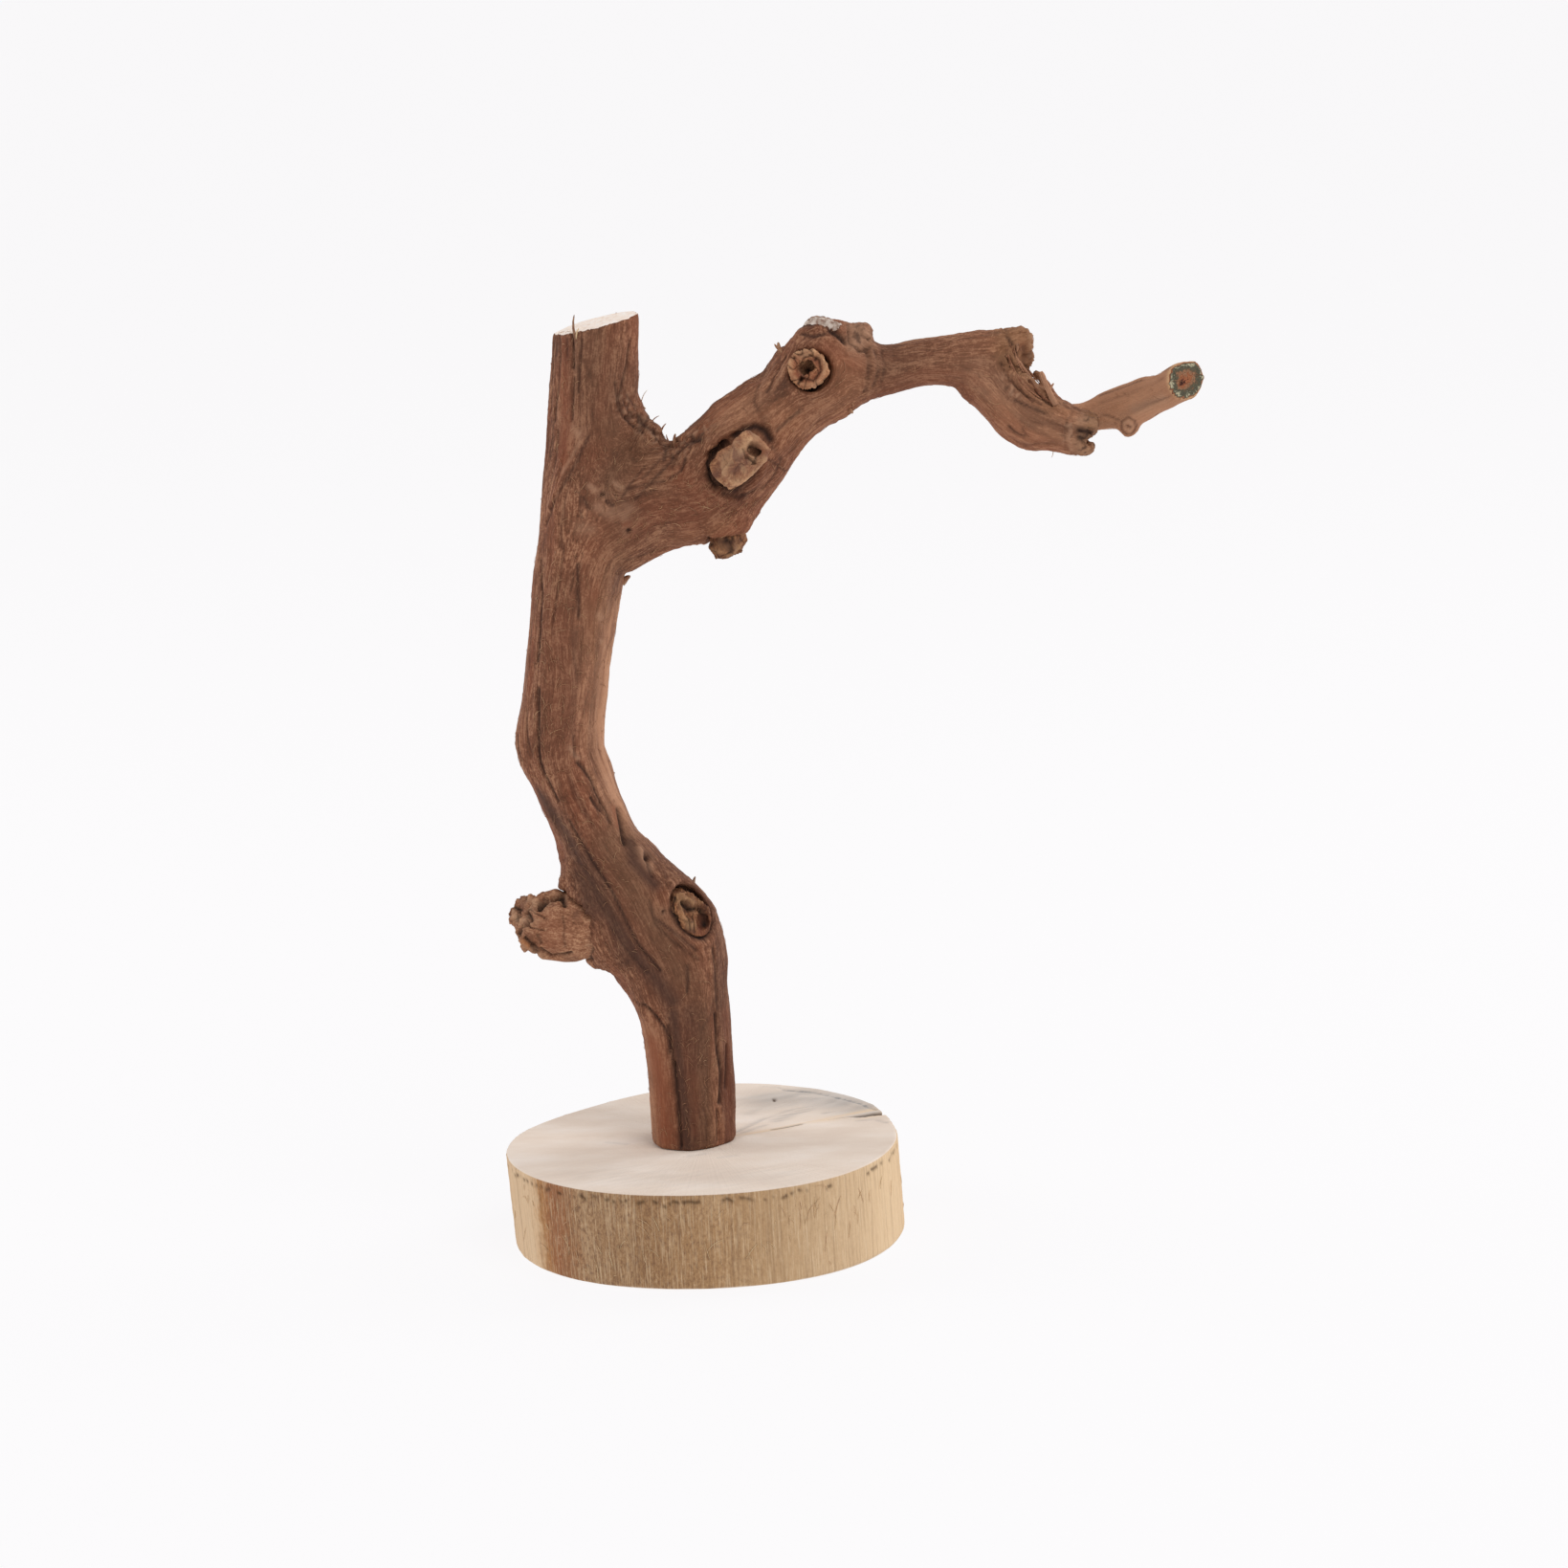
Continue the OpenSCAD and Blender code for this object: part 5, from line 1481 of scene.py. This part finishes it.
# %% Threads laid on a skin
def threads_mesh(name, threads, shades):
    """threads is a list of (points, radii) in mm."""
    corners, faces, tone, grain = [], [], [], []
    for (line, radii), shade in zip(threads, shades):
        line = np.asarray(line, float)
        way = unit(np.gradient(line, axis=0))
        across = unit(np.cross(way, [0.31, 0.85, 0.42]))
        other = np.cross(way, across)
        start, sides = len(corners), 3 if max(radii) < 0.2 else 6
        run = np.concatenate([[0], np.cumsum(np.linalg.norm(np.diff(line, axis=0), axis=1))])
        for centre, a, b, radius, far in zip(line, across, other, radii, run):
            for k in range(sides):
                turn = 2 * math.pi * k / sides
                corners.append(centre + (a * math.cos(turn) + b * math.sin(turn)) * radius)
                tone.append(shade)
                grain.append((math.cos(turn) * radius + 30 * shade, math.sin(turn) * radius, far))
        for low in range(start, start + (len(line) - 1) * sides, sides):
            for k in range(sides):
                n = (k + 1) % sides
                faces.append([low + k, low + n, low + sides + n, low + sides + k])
        faces.append([start + k for k in range(sides)][::-1])
        faces.append([start + (len(line) - 1) * sides + k for k in range(sides)])
    mesh = bpy.data.meshes.new(name)
    mesh.from_pydata([tuple(c / 1000) for c in corners], [], faces)
    thing = bpy.data.objects.new(name, mesh)
    bpy.context.scene.collection.objects.link(thing)
    keep_value(thing, "shade", tone)
    keep_value(thing, "rubbed", np.array(tone) * 0.6)
    keep_value(thing, "grain", grain)
    for polygon in mesh.polygons:
        polygon.use_smooth = len(polygon.vertices) == 4
    print(name, "has", len(faces), "faces")
    return thing


def lay_threads(thing, seen_tree, headings, count, seed, zones, size=1.0, bend=1.0):
    """A row of zones is how thickly the threads lie, how far from the line in mm, then picture points."""
    chance = np.random.default_rng(seed)
    at, out, tree = points_of(thing), normals_of(thing), tree_of(thing)
    weight = sum(amount * line_field(at, aim(line, seen_tree), reach)
                 for amount, reach, line in rows_of(zones)) + 0.12
    weight[(np.abs(out) > 0.97).any(1) & (at[:, 2] > 190) | (at[:, 2] < 0.5)] = 0
    threads = []
    for i in chance.choice(len(at), count, p=weight / weight.sum()):
        turn = bend * chance.normal(0, 0.55)
        way = unit(headings[i] * math.cos(turn) + np.cross(out[i], headings[i]) * math.sin(turn))
        length = size * chance.uniform(0.6, 3.4)
        curl = bend * chance.normal(0, 0.28)
        thick = size * chance.uniform(0.6, 1.1)
        spot, line = at[i], []
        for step in range(6):
            place, normal = tree.find_nearest(spot / 1000)[:2]
            normal = np.array(normal)
            line.append(np.array(place) * 1000 + normal * (0.07 + 0.05 * math.sin(step * 0.6)))
            way = unit(way - normal * (way @ normal) + np.cross(normal, way) * curl)
            spot = line[-1] + way * length / 5
        threads.append((line, [thick * r for r in (0.02, 0.045, 0.055, 0.055, 0.045, 0.02)]))
    return threads


# %% Flecks and splinters on the branch
threads = lay_threads(branch, skin_tree, heading, count=1250, seed=12, zones="""
1.2 6 625,505 650,520 668,548
.9 4 625,880 650,930
1 5 572,610 572,700 575,790
.8 4 722,1100 724,1190
.7 6 690,520 720,525 760,530
.5 5 610,860 640,930 670,990
.6 4 590,380 585,470
.5 5 640,600 625,700""")
shades = list(np.random.default_rng(5).uniform(0.15, 0.7, len(threads)))
# Each splinter is px, py, pixels right, pixels down, radius in mm and shade.
splinters = [
    (600, 353, -1, -24, .34, .1), (601, 352, 3, -9, .25, .9), (606, 352, 4, -5, .2, .9),
    (672, 418, 6, -11, .12, .8), (676, 425, -4, -8, .12, .7), (705, 464, 1, -11, .45, .15),
    (699, 460, -2, -7, .2, .3), (712, 460, 2, -6, .2, .3), (651, 608, 8, -6, .8, .2),
    (817, 370, -4, -13, .7, .2), (818, 368, -8, -8, .4, .3), (726, 921, 2, -6, .35, .1),
    (879, 431, 2, 5, .5, .2), (888, 428, 3, 4, .5, .2), (1072, 352, 8, -1, .4, .3),
    (1076, 366, 4, 8, .4, .2), (1100, 477, -2, 6, .1, .8), (690, 450, 5, -7, .2, .3),
    (682, 440, 7, -5, .15, .4), (541, 772, -3, -7, .3, .2)]
for px, py, to_right, down, radius, shade in splinters:
    foot_at = touch(px, py, skin_tree)
    reach = picture_step(to_right, down)
    bow = unit(np.cross(reach, ahead)) * np.linalg.norm(reach) * 0.08
    line = [foot_at + reach * u + bow * math.sin(3 * u) for u in (-0.25, 0.1, 0.4, 0.7, 0.9, 1.0)]
    threads.append((line, [radius * taper for taper in (1, 1, .85, .65, .45, .15)]))
    shades.append(shade)
flecks = threads_mesh("loose_fibres", threads, shades)

# %% [markdown]
# Where the arm's tip broke, the wood tore into long strands that run down over the bend. They are modelled
# one by one, as thick threads that follow picture points on the skin, because dents in the skin alone look
# too soft there. Each row is a strand's radius in mm and its points.

# %% Torn strands
prong_at, prong_run, spur_run = (1104, 423), (-16, -34), (5, -7)   # pixels
knots_along = 14


def wander(path, scale, seed):
    return np.stack([noise(path * scale, seed + i) for i in range(3)], axis=1)


strands = []
for thick, line in rows_of("""
.36 1056,358 1060,370 1066,384 1076,399 1088,413 1100,423
.34 1052,364 1056,379 1064,393 1074,406 1088,418
.33 1064,354 1067,367 1071,381 1079,395 1092,409
.34 1047,376 1051,391 1060,404 1071,415 1085,424
.3 1070,366 1072,377 1077,388 1087,402
.3 1043,388 1048,400 1058,413 1072,423
.28 1060,362 1063,376 1069,390 1080,404 1094,417
.26 1049,384 1055,398 1065,410 1078,421
.6 1052,372 1064,388 1078,405 1096,424
.52 1062,372 1070,386 1082,402 1097,421
.4 1058,346 1062,352 1064,360 1063,368
.34 1066,345 1070,352 1071,360
.3 1074,346 1077,354 1078,362"""):
    path = np.array([touch(px, py, skin_tree) for px, py in line])
    way = np.linspace(0, len(path) - 1, knots_along)
    path = np.stack([np.interp(way, np.arange(len(path)), path[:, i]) for i in range(3)], axis=1)
    path += 0.12 * wander(path, 0.5, 111) - sight * 0.15
    strands.append((path, thick * np.clip(1.1 - np.abs(np.linspace(-1, 1, knots_along)) ** 3, 0.25, 1)))
prong = touch(*prong_at, skin_tree) + np.outer(np.linspace(0, 1, knots_along), picture_step(*prong_run))
prong_radius = np.linspace(.75, .6, knots_along) * np.append(np.ones(10), (1.1, 1.2, 1.1, .7))
strands.append((prong + 0.25 * wander(prong, 0.25, 121), prong_radius * (1 + 0.1 * noise(prong * 1.2, 125))))
spur = prong[6] + np.outer(np.linspace(0, 1, 6), picture_step(*spur_run))
strands.append((spur, np.linspace(.5, .12, 6)))
torn_strands = threads_mesh("torn_strands", strands, list(np.linspace(.05, .95, len(strands))))
torn_strands.data.materials.append(branch_wood)
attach(torn_strands, "root")

# %% [markdown]
# Bast is the stringy layer under the bark. Dry, it is matt, from brown to straw, and each thread keeps one
# shade.

# %% Bast fibre
bast, tree, shader = new_material("dry_bast_fibre", Roughness=0.75)
tone = put(tree, "ValToRGB", {"Fac": read(tree, "shade")}, stops=[
    (0.0, "#5A3C2E"), (0.3, "#99603F"), (0.65, "#BE8C66"), (1.0, "#EBD3A8")])
spot = put(tree, "TexCoord").outputs["Object"]
fuzz = put(tree, "TexNoise", {"Vector": spot, "Scale": 1500.0})
fuzz_colour = put(tree, "ValToRGB", {"Fac": fuzz}, stops=[(0.4, "#7A5238"), (0.6, "#D9B890")])
mixed = put(tree, "Mix", {"Factor": 0.25, 6: tone, 7: fuzz_colour}, data_type="RGBA")
tree.links.new(mixed.outputs[2], shader.inputs["Base Color"])
flecks.data.materials.append(bast)
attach(flecks, "root")
print(bast.name, "on", flecks.name)

# %% Fibres on the side of the slice
upright = np.tile([0.0, 0.0, 1.0], (len(log_slice.data.vertices), 1))
scratches = lay_threads(log_slice, slice_tree, upright, count=240, seed=31, size=1.5, bend=0.5, zones="""
.9 7 850,1270 880,1265
.6 6 750,1270 770,1300
.3 9 600,1290 680,1300""")
scratches = [(line, radii) for line, radii in scratches
             if 1.0 < line[0][2] < 20 and 1.0 < line[-1][2] < 20 and np.hypot(*line[0][:2]) > 38]
side_shades = list(np.random.default_rng(6).uniform(.75, 1, len(scratches)))
side_fibres = threads_mesh("slice_fibres", scratches, side_shades)
side_fibres.data.materials.append(bast)
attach(side_fibres, "root")
